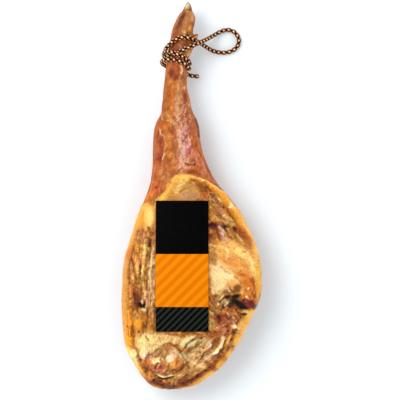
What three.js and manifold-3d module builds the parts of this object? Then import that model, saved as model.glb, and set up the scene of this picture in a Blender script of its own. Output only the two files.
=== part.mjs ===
// A whole cured ham with its foot, lying on its skin side: meat face up (+Z), hoof towards +Y.
// Units are millimetres. The floor is z = 0, and the origin is under the middle of the ham.
// Pieces: the ham itself, a tied rope (turns round the shank, a free loop and a tail) and a label.
import * as THREE from 'three';
import { mergeVertices } from 'three/addons/utils/BufferGeometryUtils.js';
import Module from 'manifold-3d';

const wasm = await Module();
wasm.setup();

// ---- driving dimensions ----
const HAM_LENGTH = 776;
const HOOF_TIP_Y = HAM_LENGTH / 2;
const BUTT_END_Y = -HAM_LENGTH / 2;
const FOOT_END_Y = 367;          // where the skin of the foot ends and the claws stand out
const GAP = 0.3;                 // between pieces that touch

const STATIONS = 66;             // sections along the ham
const AROUND = 36;               // corners of each section
const BUTT_CROWDING = 0.14;      // how much closer the sections lie at the butt
const UNDER_FLOOR_DEPTH = 100;   // of the block that cuts the ham flat where it rests

const ROPE_RADIUS = 4.2;
const ROPE_SIDES = 10;
const TURNS_WIDTH = 28;          // three turns side by side
const TURNS_CENTRE = [-28, 269, 50];
const SLAB_SIZE = 140;           // the slab that holds the turns is wider and taller than the shank
const TURNS_SLANT = THREE.MathUtils.degToRad(-18);
const TURNS_REACH = 50;          // how far along the shank the turns may lie, each way from their centre
const LOOP_STEPS = 56;
const TAIL_STEPS = 6;

const LABEL_WIDTH = 104.5;
const LABEL_LENGTH = 259;
const LABEL_CENTRE = [-19, -140.8];
const LABEL_THICK = 0.8;
const [LABEL_COLUMNS, LABEL_ROWS] = [6, 14];
const LABEL_LIFT = 1.5;          // the face is uneven, so the card lies on its high places

// Outline seen from above: x of the left and of the right edge at each y, from hoof to butt.
const LEFT_EDGE = [
  [367, -23.5], [352, -31.5], [334, -38.5], [308, -44], [262, -52], [226, -55], [186, -59], [163, -62],
  [146, -71], [128, -76], [84, -78], [54, -79], [22, -83], [8, -88], [-20, -99], [-88, -122],
  [-128, -133], [-166, -137], [-212, -139], [-256, -137], [-296, -132], [-316, -126], [-332, -115],
  [-350, -106], [-368, -93], [-380, -80], [-388, -54],
];
const RIGHT_EDGE = [
  [367, 3.5], [357, 7.5], [344, 6], [326, 2], [300, 4], [286, 0], [272, -7], [258, -9], [236, -9.5], [220, -10],
  [198, -5], [168, 2], [146, 12], [128, 16], [110, 17], [82, 23], [56, 33], [28, 48], [-4, 74],
  [-26, 91], [-66, 112], [-102, 128], [-138, 136], [-184, 139], [-206, 135], [-231, 124],
  [-282, 100], [-318, 77], [-348, 52], [-368, 25], [-381, 2], [-388, -30],
];

// Side profile: height of the meat face, of the widest line and of the skin underneath, at each y.
const TOP_LINE = [
  [364, 59], [352, 64], [326, 69], [300, 73], [262, 74], [220, 75], [186, 79], [163, 87], [140, 95],
  [110, 99], [60, 102], [20, 106], [-30, 112], [-90, 118], [-160, 121], [-240, 119], [-300, 113],
  [-345, 101], [-370, 88], [-382, 77], [-388, 68],
];
const WIDEST_LINE = [
  [364, 42], [326, 47], [262, 50], [163, 56], [110, 60], [20, 66], [-90, 73], [-300, 72], [-388, 60],
];
const SKIN_LINE = [
  [364, 27], [352, 24], [326, 25], [300, 26], [262, 26], [220, 27], [186, 27], [163, 25], [140, 22],
  [110, 18], [60, 12], [20, 6], [-30, 0], [-90, -4], [-160, -5], [-230, -3], [-290, 4],
  [-335, 17], [-365, 34], [-382, 47], [-388, 54],
];
// How square each section is: 2 is an ellipse.
const TOP_SQUARENESS = [[364, 2], [140, 2.1], [20, 2.3], [-120, 2.5], [-388, 2.3]];
const SKIN_SQUARENESS = [[364, 2], [140, 2], [-120, 1.95], [-388, 2]];

// Half profile of a claw: [share of the base radius, share of the length].
const CLAW_PROFILE = [[0, 0], [1, 0], [1, 0.25], [0.84, 0.5], [0.63, 0.7], [0.4, 0.87], [0.2, 0.97], [0, 1]];
const CLAW_SIDES = 16;
// Claws: [base x, y, z], [tip x, y, z], base radii across and in height.
const CLAWS = [
  { base: [-10, 350, 53], tip: [-7, HOOF_TIP_Y, 50], across: 12.5, tall: 10 },
  { base: [-12, 348, 33], tip: [-9, HOOF_TIP_Y - 5, 36], across: 12.5, tall: 10 },
];
const DEWCLAWS = [
  { base: [-9, 324, 60], tip: [-1, 346, 68], across: 8, tall: 7 },
  { base: [-3, 308, 42], tip: [13, 324, 45], across: 8, tall: 7 },
];

// Rope route over the shank and round the free loop, by hand; it starts and ends inside the turns.
const LOOP_ROUTE = [
  [-56, 286, 42], [-54, 291.5, 54], [-50, 295, 63], [-42, 303, 72], [-32, 310.5, 77], [-20, 314.5, 78.5],
  [-8, 314.5, 76], [3, 311.5, 66], [12, 307.5, 52], [21, 303, 35], [30, 298, 20], [41, 292, 9], [54, 288.6, 5],
  [66, 288, 4.9], [78, 290, 4.9], [88, 295.5, 4.9], [95, 305, 4.9], [96, 316, 4.9], [90, 327.5, 4.9],
  [80, 334, 4.9], [68, 335, 5], [55, 329.5, 8], [44, 322.5, 16], [33, 315, 30], [22, 308.5, 48], [12, 303, 64],
  [2, 297, 74], [-8, 291, 78.5], [-21, 284.5, 78.5], [-34, 280, 77],
];
const TAIL_ROUTE = [
  [-36, 264, 21], [-26, 257, 21.2], [-15, 248.5, 22.5], [-5, 241.5, 20], [4, 239.8, 16], [13, 239.8, 12.5],
];

// ---- materials ----
const material = (name, color, roughness) => new THREE.MeshStandardMaterial({ name, color, roughness, metalness: 0 });
const curedMeat = material('cured_ham', 0xc07a3c, 0.45);
const ropeFibre = material('rope', 0x3a1c12, 0.8);
const labelCard = material('label', 0x1c1c1c, 0.5);

// ---- helpers ----
// A smooth curve through [position, value] pairs that never overshoots them.
function smoothLine(pairs) {
  const p = [...pairs].sort((a, b) => a[0] - b[0]);
  const slope = p.slice(1).map((q, i) => (q[1] - p[i][1]) / (q[0] - p[i][0]));
  const tangent = p.map((_, i) => {
    if (i === 0) return slope[0];
    if (i === p.length - 1) return slope[i - 1];
    return slope[i - 1] * slope[i] <= 0 ? 0 : 2 / (1 / slope[i - 1] + 1 / slope[i]);
  });
  return (at) => {
    if (at <= p[0][0]) return p[0][1];
    if (at >= p[p.length - 1][0]) return p[p.length - 1][1];
    const i = p.findIndex((q) => q[0] >= at) - 1;
    const h = p[i + 1][0] - p[i][0];
    const t = (at - p[i][0]) / h;
    const rise = t * t * (3 - 2 * t);
    return (
      p[i][1] * (1 - rise) + p[i + 1][1] * rise
      + h * t * (1 - t) * (tangent[i] * (1 - t) - tangent[i + 1] * t)
    );
  };
}

function toManifold(geometry) {
  const plain = geometry.clone();
  plain.deleteAttribute('normal');
  plain.deleteAttribute('uv');
  const merged = mergeVertices(plain, 1e-4);
  return new wasm.Manifold(new wasm.Mesh({
    numProp: 3,
    vertProperties: new Float32Array(merged.attributes.position.array),
    triVerts: new Uint32Array(merged.index.array),
  }));
}

function toGeometry(solid) {
  const mesh = solid.getMesh();
  const geometry = new THREE.BufferGeometry();
  geometry.setAttribute('position', new THREE.BufferAttribute(new Float32Array(mesh.vertProperties), 3));
  geometry.setIndex(new THREE.BufferAttribute(new Uint32Array(mesh.triVerts), 1));
  return geometry;
}

function piece(name, solid, finish) {
  const mesh = new THREE.Mesh(toGeometry(solid), finish);
  mesh.name = name;
  return mesh;
}

// A closed skin over rings of points that all have the same count, with a flat fan at each end.
function loft(rings) {
  const count = rings[0].length;
  const points = rings.flat();
  const faces = [];
  for (let r = 0; r < rings.length - 1; r += 1) {
    for (let i = 0; i < count; i += 1) {
      const j = (i + 1) % count;
      const [a, b, c, d] = [r * count + i, r * count + j, (r + 1) * count + j, (r + 1) * count + i];
      faces.push(a, b, c, a, c, d);
    }
  }
  const capEnd = (ring, flip) => {
    const middle = ring.reduce((sum, q) => sum.add(q), new THREE.Vector3()).divideScalar(count);
    const start = points.indexOf(ring[0]);
    const hub = points.push(middle) - 1;
    for (let i = 0; i < count; i += 1) {
      const j = (i + 1) % count;
      faces.push(...(flip ? [hub, start + j, start + i] : [hub, start + i, start + j]));
    }
  };
  capEnd(rings[0], true);
  capEnd(rings[rings.length - 1], false);
  const geometry = new THREE.BufferGeometry().setFromPoints(points);
  geometry.setIndex(faces);
  return toManifold(geometry);
}

// ---- the ham ----
const outline = {
  left: smoothLine(LEFT_EDGE), right: smoothLine(RIGHT_EDGE),
  top: smoothLine(TOP_LINE), widest: smoothLine(WIDEST_LINE), skin: smoothLine(SKIN_LINE),
  topPower: smoothLine(TOP_SQUARENESS), skinPower: smoothLine(SKIN_SQUARENESS),
};

// One section of the ham at y, grown outwards by grow.
function section(y, grow = 0) {
  const middle = (outline.left(y) + outline.right(y)) / 2;
  const half = (outline.right(y) - outline.left(y)) / 2 + grow;
  const widest = outline.widest(y);
  const ring = [];
  for (let i = 0; i < AROUND; i += 1) {
    const angle = (2 * Math.PI * i) / AROUND;
    const [across, up] = [Math.cos(angle), Math.sin(angle)];
    const power = 2 / (up > 0 ? outline.topPower(y) : outline.skinPower(y));
    const height = (up > 0 ? outline.top(y) - widest : widest - outline.skin(y)) + grow;
    ring.push(new THREE.Vector3(
      middle + half * Math.sign(across) * Math.abs(across) ** power,
      y,
      widest + height * Math.sign(up) * Math.abs(up) ** power,
    ));
  }
  return ring;
}

// Height of the smooth meat face at a place seen from above.
function faceHeight(x, y) {
  const middle = (outline.left(y) + outline.right(y)) / 2;
  const half = (outline.right(y) - outline.left(y)) / 2;
  const power = outline.topPower(y);
  const away = Math.min(1, Math.abs(x - middle) / half);
  return outline.widest(y) + (outline.top(y) - outline.widest(y)) * (1 - away ** power) ** (1 / power);
}

// Sections lie closer together towards the rounded butt.
function stationY(i) {
  const t = i / (STATIONS - 1);
  const eased = t + BUTT_CROWDING * Math.sin(Math.PI * t) * t;
  return FOOT_END_Y + (BUTT_END_Y - FOOT_END_Y) * Math.min(1, eased);
}

const stations = Array.from({ length: STATIONS }, (_, i) => stationY(i));

// A claw or dewclaw: a blunt horn cone from a base inside the foot to its tip.
function horn({ base, tip, across, tall }) {
  const from = new THREE.Vector3(...base);
  const to = new THREE.Vector3(...tip);
  const length = from.distanceTo(to);
  const profile = CLAW_PROFILE.map(([r, h]) => new THREE.Vector2(r, h * length));
  const geometry = new THREE.LatheGeometry(profile, CLAW_SIDES);
  geometry.scale(across, 1, tall);
  const turn = new THREE.Quaternion().setFromUnitVectors(
    new THREE.Vector3(0, 1, 0),
    to.clone().sub(from).normalize(),
  );
  geometry.applyQuaternion(turn);
  geometry.translate(from.x, from.y, from.z);
  return toManifold(geometry);
}

function hamSolid() {
  let solid = loft(stations.map((y) => section(y)));
  [...CLAWS, ...DEWCLAWS].forEach((claw) => {
    solid = solid.add(horn(claw));
  });
  const underFloor = new THREE.BoxGeometry(HAM_LENGTH, 2 * HAM_LENGTH, UNDER_FLOOR_DEPTH);
  underFloor.translate(0, 0, -UNDER_FLOOR_DEPTH / 2);
  return solid.subtract(toManifold(underFloor));
}

// ---- the rope ----
// The slab that holds the turns round the shank, made thicker by extra on both sides.
function turnsSlab(extra) {
  const box = new THREE.BoxGeometry(SLAB_SIZE, TURNS_WIDTH + 2 * extra, SLAB_SIZE);
  box.rotateZ(TURNS_SLANT);
  box.translate(...TURNS_CENTRE);
  return toManifold(box);
}

// The shank near the turns, grown outwards; it uses the ham's own sections, so their faces match.
function shankGrown(grow) {
  const near = stations.filter((y) => Math.abs(y - TURNS_CENTRE[1]) < TURNS_REACH);
  return loft(near.map((y) => section(y, grow)));
}

function turnsSolid() {
  const outer = shankGrown(GAP + 2 * ROPE_RADIUS);
  const inner = shankGrown(GAP);
  return outer.intersect(turnsSlab(0)).subtract(inner);
}

function ropeTube(route, steps) {
  const circle = new THREE.Shape();
  circle.absarc(0, 0, ROPE_RADIUS, 0, 2 * Math.PI, false);
  const curve = new THREE.CatmullRomCurve3(route.map((p) => new THREE.Vector3(...p)));
  const tube = new THREE.ExtrudeGeometry(circle, { steps, curveSegments: ROPE_SIDES, extrudePath: curve });
  return toManifold(tube).subtract(turnsSlab(GAP));
}

// ---- the label ----
function labelSolid() {
  const [cx, cy] = LABEL_CENTRE;
  const [columns, rows] = [LABEL_COLUMNS, LABEL_ROWS];
  const rings = [];
  for (let r = 0; r <= rows; r += 1) {
    const y = cy + LABEL_LENGTH * (0.5 - r / rows);
    const under = [];
    for (let c = 0; c <= columns; c += 1) {
      const x = cx + LABEL_WIDTH * (c / columns - 0.5);
      under.push(new THREE.Vector3(x, y, faceHeight(x, y) + LABEL_LIFT));
    }
    const over = under.map((q) => new THREE.Vector3(q.x, q.y, q.z + LABEL_THICK)).reverse();
    rings.push([...over, ...under]);
  }
  return loft(rings);
}

const group = new THREE.Group();
group.add(
  piece('ham', hamSolid(), curedMeat),
  piece('rope_turns', turnsSolid(), ropeFibre),
  piece('rope_loop', ropeTube(LOOP_ROUTE, LOOP_STEPS), ropeFibre),
  piece('rope_tail', ropeTube(TAIL_ROUTE, TAIL_STEPS), ropeFibre),
  piece('label', labelSolid(), labelCard),
);

export default group;
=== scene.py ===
"""A whole cured ham lying skin side down, with a rope round its shank and a plain label on its meat.

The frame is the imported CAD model: +Y points to the hoof and +Z up out of the meat face. The ham's fine
surface is made from the CAD ham, remeshed and sculpted in code. Places on the ham are in millimetres,
as (x, y) seen from above.
"""
import math

import bmesh
import bpy
import numpy as np
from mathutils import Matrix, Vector
from mathutils.bvhtree import BVHTree
from mathutils.kdtree import KDTree


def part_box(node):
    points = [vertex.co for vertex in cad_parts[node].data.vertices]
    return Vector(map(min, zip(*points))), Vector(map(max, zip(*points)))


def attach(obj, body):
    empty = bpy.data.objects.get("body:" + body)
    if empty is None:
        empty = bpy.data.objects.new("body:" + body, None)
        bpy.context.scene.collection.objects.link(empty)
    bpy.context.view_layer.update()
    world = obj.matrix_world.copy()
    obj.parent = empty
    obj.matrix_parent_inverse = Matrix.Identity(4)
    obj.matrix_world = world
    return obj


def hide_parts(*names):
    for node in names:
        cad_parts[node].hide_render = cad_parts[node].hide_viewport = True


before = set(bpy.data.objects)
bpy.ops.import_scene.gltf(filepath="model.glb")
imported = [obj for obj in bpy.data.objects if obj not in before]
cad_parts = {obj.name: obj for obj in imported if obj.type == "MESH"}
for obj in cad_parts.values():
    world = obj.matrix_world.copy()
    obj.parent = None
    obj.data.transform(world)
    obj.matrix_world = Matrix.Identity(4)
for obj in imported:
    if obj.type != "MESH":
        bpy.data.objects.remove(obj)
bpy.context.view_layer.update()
MM = 0.001

# ---------------------------------------------------------------- camera: straight down on the meat face
LENS = 200
SENSOR = 36
VIEW_WIDTH = 0.8
VIEW_CENTRE = (0.0164, -0.010)
WIDEST_HEIGHT = 0.062

camera_data = bpy.data.cameras.new("camera")
camera_data.lens = LENS
camera_data.sensor_width = SENSOR
camera_data.clip_end = 100
camera = bpy.data.objects.new("camera", camera_data)
camera.location = (*VIEW_CENTRE, WIDEST_HEIGHT + VIEW_WIDTH * LENS / SENSOR)
bpy.context.scene.collection.objects.link(camera)
bpy.context.scene.camera = camera


# ---------------------------------------------------------------- helpers
def linear(hex_colour):
    """A colour written as six hex digits, as linear light."""
    values = [int(hex_colour[i:i + 2], 16) / 255 for i in (0, 2, 4)]
    return np.array([v / 12.92 if v <= 0.04045 else ((v + 0.055) / 1.055) ** 2.4 for v in values])


def link(obj):
    """Puts an object in the scene and returns it."""
    bpy.context.scene.collection.objects.link(obj)
    return obj


def mesh_object(name, points, faces, material):
    """A smooth-shaded object in the scene."""
    mesh = bpy.data.meshes.new(name)
    mesh.from_pydata([tuple(p) for p in points], [], faces)
    mesh.materials.append(material)
    mesh.polygons.foreach_set("use_smooth", [True] * len(mesh.polygons))
    mesh.update()
    return link(bpy.data.objects.new(name, mesh))


def smoothstep(low, high, value):
    """From 0 at low to 1 at high, with a soft start and end; low may be the greater."""
    t = np.clip((value - low) / (high - low), 0, 1)
    return t * t * (3 - 2 * t)


def lattice(cell, seed):
    """A repeatable random number from 0 to 1 for each lattice cell."""
    x, y, z = cell[..., 0], cell[..., 1], cell[..., 2]
    h = x * 374761393 + y * 668265263 + z * 2147483647 + seed * 974634777
    h = (h ^ (h >> 13)) * 1274126177
    h = h ^ (h >> 16)
    return (h & 0xFFFFFF) / 0xFFFFFF


def noise(points, size, seed, octaves=1):
    """Smooth noise from -1 to 1 whose lumps are about size across, in the units of points."""
    total = np.zeros(len(points))
    weight, norm = 1.0, 0.0
    for octave in range(octaves):
        q = points / (size / 2 ** octave)
        base = np.floor(q).astype(np.int64)
        t = q - base
        t = t * t * (3 - 2 * t)
        value = np.zeros(len(points))
        for corner in np.ndindex(2, 2, 2):
            side = np.array(corner)
            share = np.prod(np.where(side, t, 1 - t), axis=1)
            value += share * lattice(base + side, seed + octave * 17)
        total += weight * (2 * value - 1)
        norm += weight
        weight *= 0.55
    return total / norm


# ---------------------------------------------------------------- material nodes
def set_range(node, low, high, out_low, out_high):
    """Sets what a Map Range node maps from and to."""
    names = ("From Min", "From Max", "To Min", "To Max")
    for name, value in zip(names, (low, high, out_low, out_high)):
        node.inputs[name].default_value = value


class Nodes:
    """A short way to write a shader: each call adds a node, links it and returns its first output."""

    def __init__(self, name):
        self.material = bpy.data.materials.new(name)
        self.material.use_nodes = True
        self.tree = self.material.node_tree
        self.shader = self.tree.nodes["Principled BSDF"]

    def put(self, socket, value):
        """Links a socket to another, or gives it a plain value."""
        if isinstance(value, bpy.types.NodeSocket):
            self.tree.links.new(value, socket)
        elif value is not None:
            socket.default_value = value

    def attribute(self, name, output="Color"):
        """A value stored on the mesh."""
        node = self.tree.nodes.new("ShaderNodeAttribute")
        node.attribute_name = name
        return node.outputs[output]

    def position(self):
        """The place on the object, in metres."""
        return self.tree.nodes.new("ShaderNodeTexCoord").outputs["Object"]

    def math(self, operation, a, b):
        """One sum on two values."""
        node = self.tree.nodes.new("ShaderNodeMath")
        node.operation = operation
        self.put(node.inputs[0], a)
        self.put(node.inputs[1], b)
        return node.outputs[0]

    def noise(self, vector, size, detail=3.0, rough=0.55, stretch=None):
        """Noise with lumps about size across, in metres; stretch scales the three directions first."""
        mapping = self.tree.nodes.new("ShaderNodeMapping")
        scale = stretch or (1, 1, 1)
        mapping.inputs["Scale"].default_value = [s / size for s in scale]
        self.put(mapping.inputs["Vector"], vector)
        node = self.tree.nodes.new("ShaderNodeTexNoise")
        node.inputs["Scale"].default_value = 1.0
        node.inputs["Detail"].default_value = detail
        node.inputs["Roughness"].default_value = rough
        self.tree.links.new(mapping.outputs[0], node.inputs["Vector"])
        return node.outputs["Fac"]

    def ramp(self, value, low, high, out_low=0.0, out_high=1.0):
        """A soft step from out_low to out_high as the value goes from low to high."""
        node = self.tree.nodes.new("ShaderNodeMapRange")
        node.interpolation_type = "SMOOTHSTEP"
        set_range(node, low, high, out_low, out_high)
        self.put(node.inputs["Value"], value)
        return node.outputs[0]

    def mix(self, share, a, b, blend="MIX"):
        """Colour a with a share of colour b mixed in or multiplied."""
        node = self.tree.nodes.new("ShaderNodeMix")
        node.data_type = "RGBA"
        node.blend_type = blend
        self.put(node.inputs["Factor"], share)
        self.put(node.inputs[6], a if isinstance(a, bpy.types.NodeSocket) else (*a, 1))
        self.put(node.inputs[7], b if isinstance(b, bpy.types.NodeSocket) else (*b, 1))
        return node.outputs[2]

    def bump(self, height, distance, strength=1.0):
        """Fine relief on the finished material."""
        node = self.tree.nodes.new("ShaderNodeBump")
        node.inputs["Strength"].default_value = strength
        node.inputs["Distance"].default_value = distance
        self.put(node.inputs["Height"], height)
        self.tree.links.new(node.outputs[0], self.shader.inputs["Normal"])


def ham_material():
    """Skin, fat and lean meat: the sculpted colours, varied by fibres, mottling, pores, wrinkles and
    painted glints.
    """
    n = Nodes("cured_ham")
    place = n.position()
    grain = n.attribute("grain", "Vector")
    tissue = n.tree.nodes.new("ShaderNodeSeparateColor")
    n.put(tissue.inputs[0], n.attribute("tissue"))
    skin, fat, lean = tissue.outputs[0], tissue.outputs[1], tissue.outputs[2]

    fibre = n.noise(grain, 0.0035, 4, 0.6, (0.16, 1, 1))
    coarse_fibre = n.noise(grain, 0.008, 3, 0.6, (0.2, 1, 1))
    mottle = n.noise(place, 0.012, 4, 0.6)
    fine = n.noise(place, 0.003, 3, 0.65)
    wrinkle = n.noise(grain, 0.0045, 3, 0.55, (0.3, 1, 1))
    fleck = n.noise(place, 0.0055, 4, 0.7)

    colour = n.attribute("paint")
    gloss = n.attribute("gloss", "Fac")
    deeper, lighter = (0.5, 0.36, 0.22), (1.5, 1.55, 1.5)
    # The wrinkle row on the skin lightens its raised wrinkles: painted highlights.
    for pattern, low, high, tissue_share, strength, gain in (
        (fibre, 0.52, 0.38, lean, 0.75, deeper), (coarse_fibre, 0.52, 0.66, lean, 0.7, lighter),
        (fleck, 0.56, 0.68, lean, 0.85, deeper), (fleck, 0.42, 0.32, lean, 0.7, lighter),
        (mottle, 0.5, 0.68, skin, 0.5, deeper), (fleck, 0.56, 0.68, skin, 0.5, deeper),
        (wrinkle, 0.54, 0.68, skin, 0.8, lighter), (mottle, 0.52, 0.7, fat, 0.25, deeper),
        (fleck, 0.44, 0.34, fat, 0.2, lighter),
    ):
        amount = n.math("MULTIPLY", n.ramp(pattern, low, high), tissue_share)
        colour = n.mix(n.math("MULTIPLY", amount, strength), colour, gain, "MULTIPLY")
    # Painted glints: pale specks mixed into the skin's colour where its gloss is high.
    painted_glint_share = n.math("MULTIPLY", n.ramp(gloss, 0.55, 0.95, 0.0, 0.65), skin)
    glint = n.ramp(n.noise(grain, 0.0026, 4, 0.65, (0.4, 1, 1)), 0.52, 0.68)
    colour = n.mix(n.math("MULTIPLY", glint, painted_glint_share), colour, linear("F4D2C0"))
    speck = n.ramp(fine, 0.3, 0.7, 0.74, 1.2)
    grey = n.tree.nodes.new("ShaderNodeCombineColor")
    for socket in grey.inputs[:3]:
        n.put(socket, speck)
    colour = n.mix(1.0, colour, grey.outputs[0], "MULTIPLY")
    n.put(n.shader.inputs["Base Color"], colour)

    rough = n.math("SUBTRACT", 0.62, n.math("MULTIPLY", gloss, 0.34))
    rough = n.math("ADD", rough, n.ramp(fine, 0.3, 0.7, -0.06, 0.08))
    n.put(n.shader.inputs["Roughness"], rough)
    height = n.math("MULTIPLY", fibre, lean)
    height = n.math("ADD", height, n.math("MULTIPLY", wrinkle, n.math("MULTIPLY", skin, 0.7)))
    height = n.math("ADD", height, n.math("MULTIPLY", fine, 0.55))
    n.bump(height, 0.0014)
    n.shader.inputs["Specular IOR Level"].default_value = 0.2
    return n.material


def rope_material():
    """Dyed twisted yarns with fine fibres along them; the pale strands' cream dots are painted highlights.
    """
    n = Nodes("rope")
    place = n.position()
    fuzz = n.noise(place, 0.0012, 3, 0.6)
    colour = n.mix(n.ramp(fuzz, 0.35, 0.65, 0.0, 0.3), n.attribute("dye_and_highlights"), linear("2A0A03"))
    n.put(n.shader.inputs["Base Color"], colour)
    n.put(n.shader.inputs["Roughness"], n.ramp(fuzz, 0.3, 0.7, 0.6, 0.85))
    n.shader.inputs["Specular IOR Level"].default_value = 0.03
    n.bump(fuzz, 0.0004, 0.8)
    return n.material


# ---------------------------------------------------------------- the rope
ROPE_DIAMETER = 0.0084
ROPE_STEP = 0.0011
TURN_STEP = 9                    # degrees round the shank
SEAT_GAP = 0.0004                # between the rope and the shank
STRANDS = 4                      # pale and dark in turn
DOTS_ROUND = 4                   # how many dots there are round the rope
ROPE_LAY = 0.0225                # length of one full twist
# The strands' radius, where their dots start and are full, the colour of the dots and between them.
# The pale strand's cream dot colour is a painted highlight where the strand faces out.
PALE_STRAND = (0.00186, -0.2, 0.65, "FFDFA6", "8C361A")
DARK_STRAND = (0.0019, -0.5, 0.4, "180302", "48140A")
STRAND_ARM = 0.0025              # from the rope's middle to a strand's
STRAND_SIDES = 10
EASING_ROUNDS = 80               # that take the sharp bends out of the route
HUMP_HEIGHT = 0.0082             # of the turns where they cross over the hidden stretch
HUMP_START = 1.6                 # diameters from the hidden stretch where a hump starts to rise
HUMP_TOP = 0.35                  # and where it has its full height
CORE_RADIUS = 0.0017
CORE_SIDES = 8
TIE_HEIGHT = 0.050               # the shank's middle under the rope

# The free loop and its two strands over the shank, in millimetres, from the turns and back to them.
LOOP_ROUTE = [
    (-54, 291.5, 54), (-50, 295, 63), (-42, 303, 72), (-32, 310.5, 77), (-20, 314.5, 78.5),
    (-8, 314.5, 76), (3, 311.5, 65.5), (12, 307.5, 50.5), (21, 303, 33.5), (30, 298, 19.5),
    (41, 292, 9), (54, 288.6, 5), (66, 288, 4.9), (78, 290, 4.9), (88, 295.5, 4.9),
    (95, 305, 4.9), (96, 316, 4.9), (90, 327.5, 4.9), (80, 334, 4.9), (68, 335, 5),
    (55, 329.5, 8), (44, 322.5, 16), (33, 315, 31), (22, 308.5, 49.5), (12, 303, 65.5),
    (2, 297, 75),
]
TAIL_ROUTE = [(-5, 241.5, 20), (4, 239.8, 16), (13, 239.8, 12.5)]
# Turns round the shank as (degrees round it, y in millimetres): 0 is +X, 90 is the top, 180 is -X.
TURNS = [
    (990, 254), (945, 260), (900, 267), (860, 271), (820, 270), (795, 267), (770, 261.5), (740, 254),
    (720, 251.5), (675, 256), (630, 264), (585, 274.5), (540, 284), (500, 287), (475, 284.5), (440, 277.5),
    (415, 273), (380, 266), (360, 261.5), (315, 266), (270, 274), (225, 284), (195, 290),
]
UNDER_TURNS = [
    (70, 292), (90, 285), (116, 280.5), (137, 278), (165, 276.5), (180, 275), (210, 270), (240, 264),
    (270, 256.5), (300, 247.5),
]


def curve_points(route, step):
    """Points a step apart on a smooth curve through the route."""
    p = [np.array(q, float) for q in route]
    p = [2 * p[0] - p[1], *p, 2 * p[-1] - p[-2]]
    fine = []
    for a, b, c, d in zip(p, p[1:], p[2:], p[3:]):
        for t in np.linspace(0, 1, 24, endpoint=False):
            fine.append(0.5 * (2 * b + (c - a) * t + (2 * a - 5 * b + 4 * c - d) * t * t
                               + (3 * b - a - 3 * c + d) * t ** 3))
    fine.append(p[-2])
    fine = np.array(fine)
    gaps = np.linalg.norm(np.diff(fine, axis=0), axis=1)
    along = np.concatenate([[0], np.cumsum(gaps)])
    count = max(2, int(round(along[-1] / step)) + 1)
    places = np.linspace(0, along[-1], count)
    return np.stack([np.interp(places, along, fine[:, i]) for i in range(3)], axis=1)


def shank_surface():
    """A function that gives the point over the CAD ham's shank at an angle, a y and a height."""
    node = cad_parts["ham"]
    tree = BVHTree.FromObject(node, bpy.context.evaluated_depsgraph_get())

    def middle(y):
        left = tree.ray_cast(Vector((-1, y, TIE_HEIGHT)), Vector((1, 0, 0)))[0]
        right = tree.ray_cast(Vector((1, y, TIE_HEIGHT)), Vector((-1, 0, 0)))[0]
        return Vector(((left.x + right.x) / 2, y, TIE_HEIGHT))

    def on_surface(degrees, y, lift):
        centre = middle(y)
        way = Vector((math.cos(math.radians(degrees)), 0, math.sin(math.radians(degrees))))
        hit = tree.ray_cast(centre + way * 0.3, -way)[0]
        return np.array(hit + way * lift)

    return on_surface


def rope_route():
    """The whole rope: hidden end, turns, one strand, loop, other strand, under the turns, tail."""
    on_surface = shank_surface()
    seat = ROPE_DIAMETER / 2 + SEAT_GAP
    under = [on_surface(a, y * MM, seat) for a, y in UNDER_TURNS]
    under_line = curve_points(under, ROPE_STEP)
    turns = []
    angles = np.array([a for a, _ in TURNS], float)
    ys = np.array([y for _, y in TURNS], float)
    for angle in np.arange(angles[0], angles[-1] - 1, -TURN_STEP):
        y = np.interp(-angle, -angles, ys)
        seated = on_surface(angle, y * MM, seat)
        gap = np.linalg.norm(under_line - seated, axis=1).min()
        hump = HUMP_HEIGHT * float(smoothstep(HUMP_START, HUMP_TOP, gap / ROPE_DIAMETER))
        turns.append(on_surface(angle, y * MM, seat + hump))
    free = [np.array(p) * MM for p in LOOP_ROUTE]
    tail = [np.array(p) * MM for p in TAIL_ROUTE]
    route = curve_points([*turns, *free, *under, *tail], ROPE_STEP)
    for _ in range(EASING_ROUNDS):
        route[1:-1] = (route[:-2] + 2 * route[1:-1] + route[2:]) / 4
    return route


def frames_along(points):
    """A tangent and two side directions at each point, turned as little as possible along the way."""
    tangents = np.gradient(points, axis=0)
    tangents /= np.linalg.norm(tangents, axis=1)[:, None]
    side = np.cross(tangents[0], (0, 0, 1.0))
    if np.linalg.norm(side) < 0.1:
        side = np.cross(tangents[0], (1.0, 0, 0))
    sides = []
    for t in tangents:
        side = side - t * (side @ t)
        side = side / np.linalg.norm(side)
        sides.append(side)
    sides = np.array(sides)
    return tangents, sides, np.cross(tangents, sides)


def tube_mesh(points, radius, count):
    """A closed tube of rings round a line of points, as points and faces."""
    _, side, up = frames_along(points)
    angles = 2 * np.pi * np.arange(count) / count
    rings = (points[:, None] + radius * (np.cos(angles)[None, :, None] * side[:, None]
                                        + np.sin(angles)[None, :, None] * up[:, None]))
    faces = []
    for r in range(len(points) - 1):
        for i in range(count):
            j = (i + 1) % count
            faces.append((r * count + i, r * count + j, (r + 1) * count + j, (r + 1) * count + i))
    faces.append(tuple(range(count - 1, -1, -1)))
    last = (len(points) - 1) * count
    faces.append(tuple(last + i for i in range(count)))
    return rings.reshape(-1, 3), faces


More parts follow.
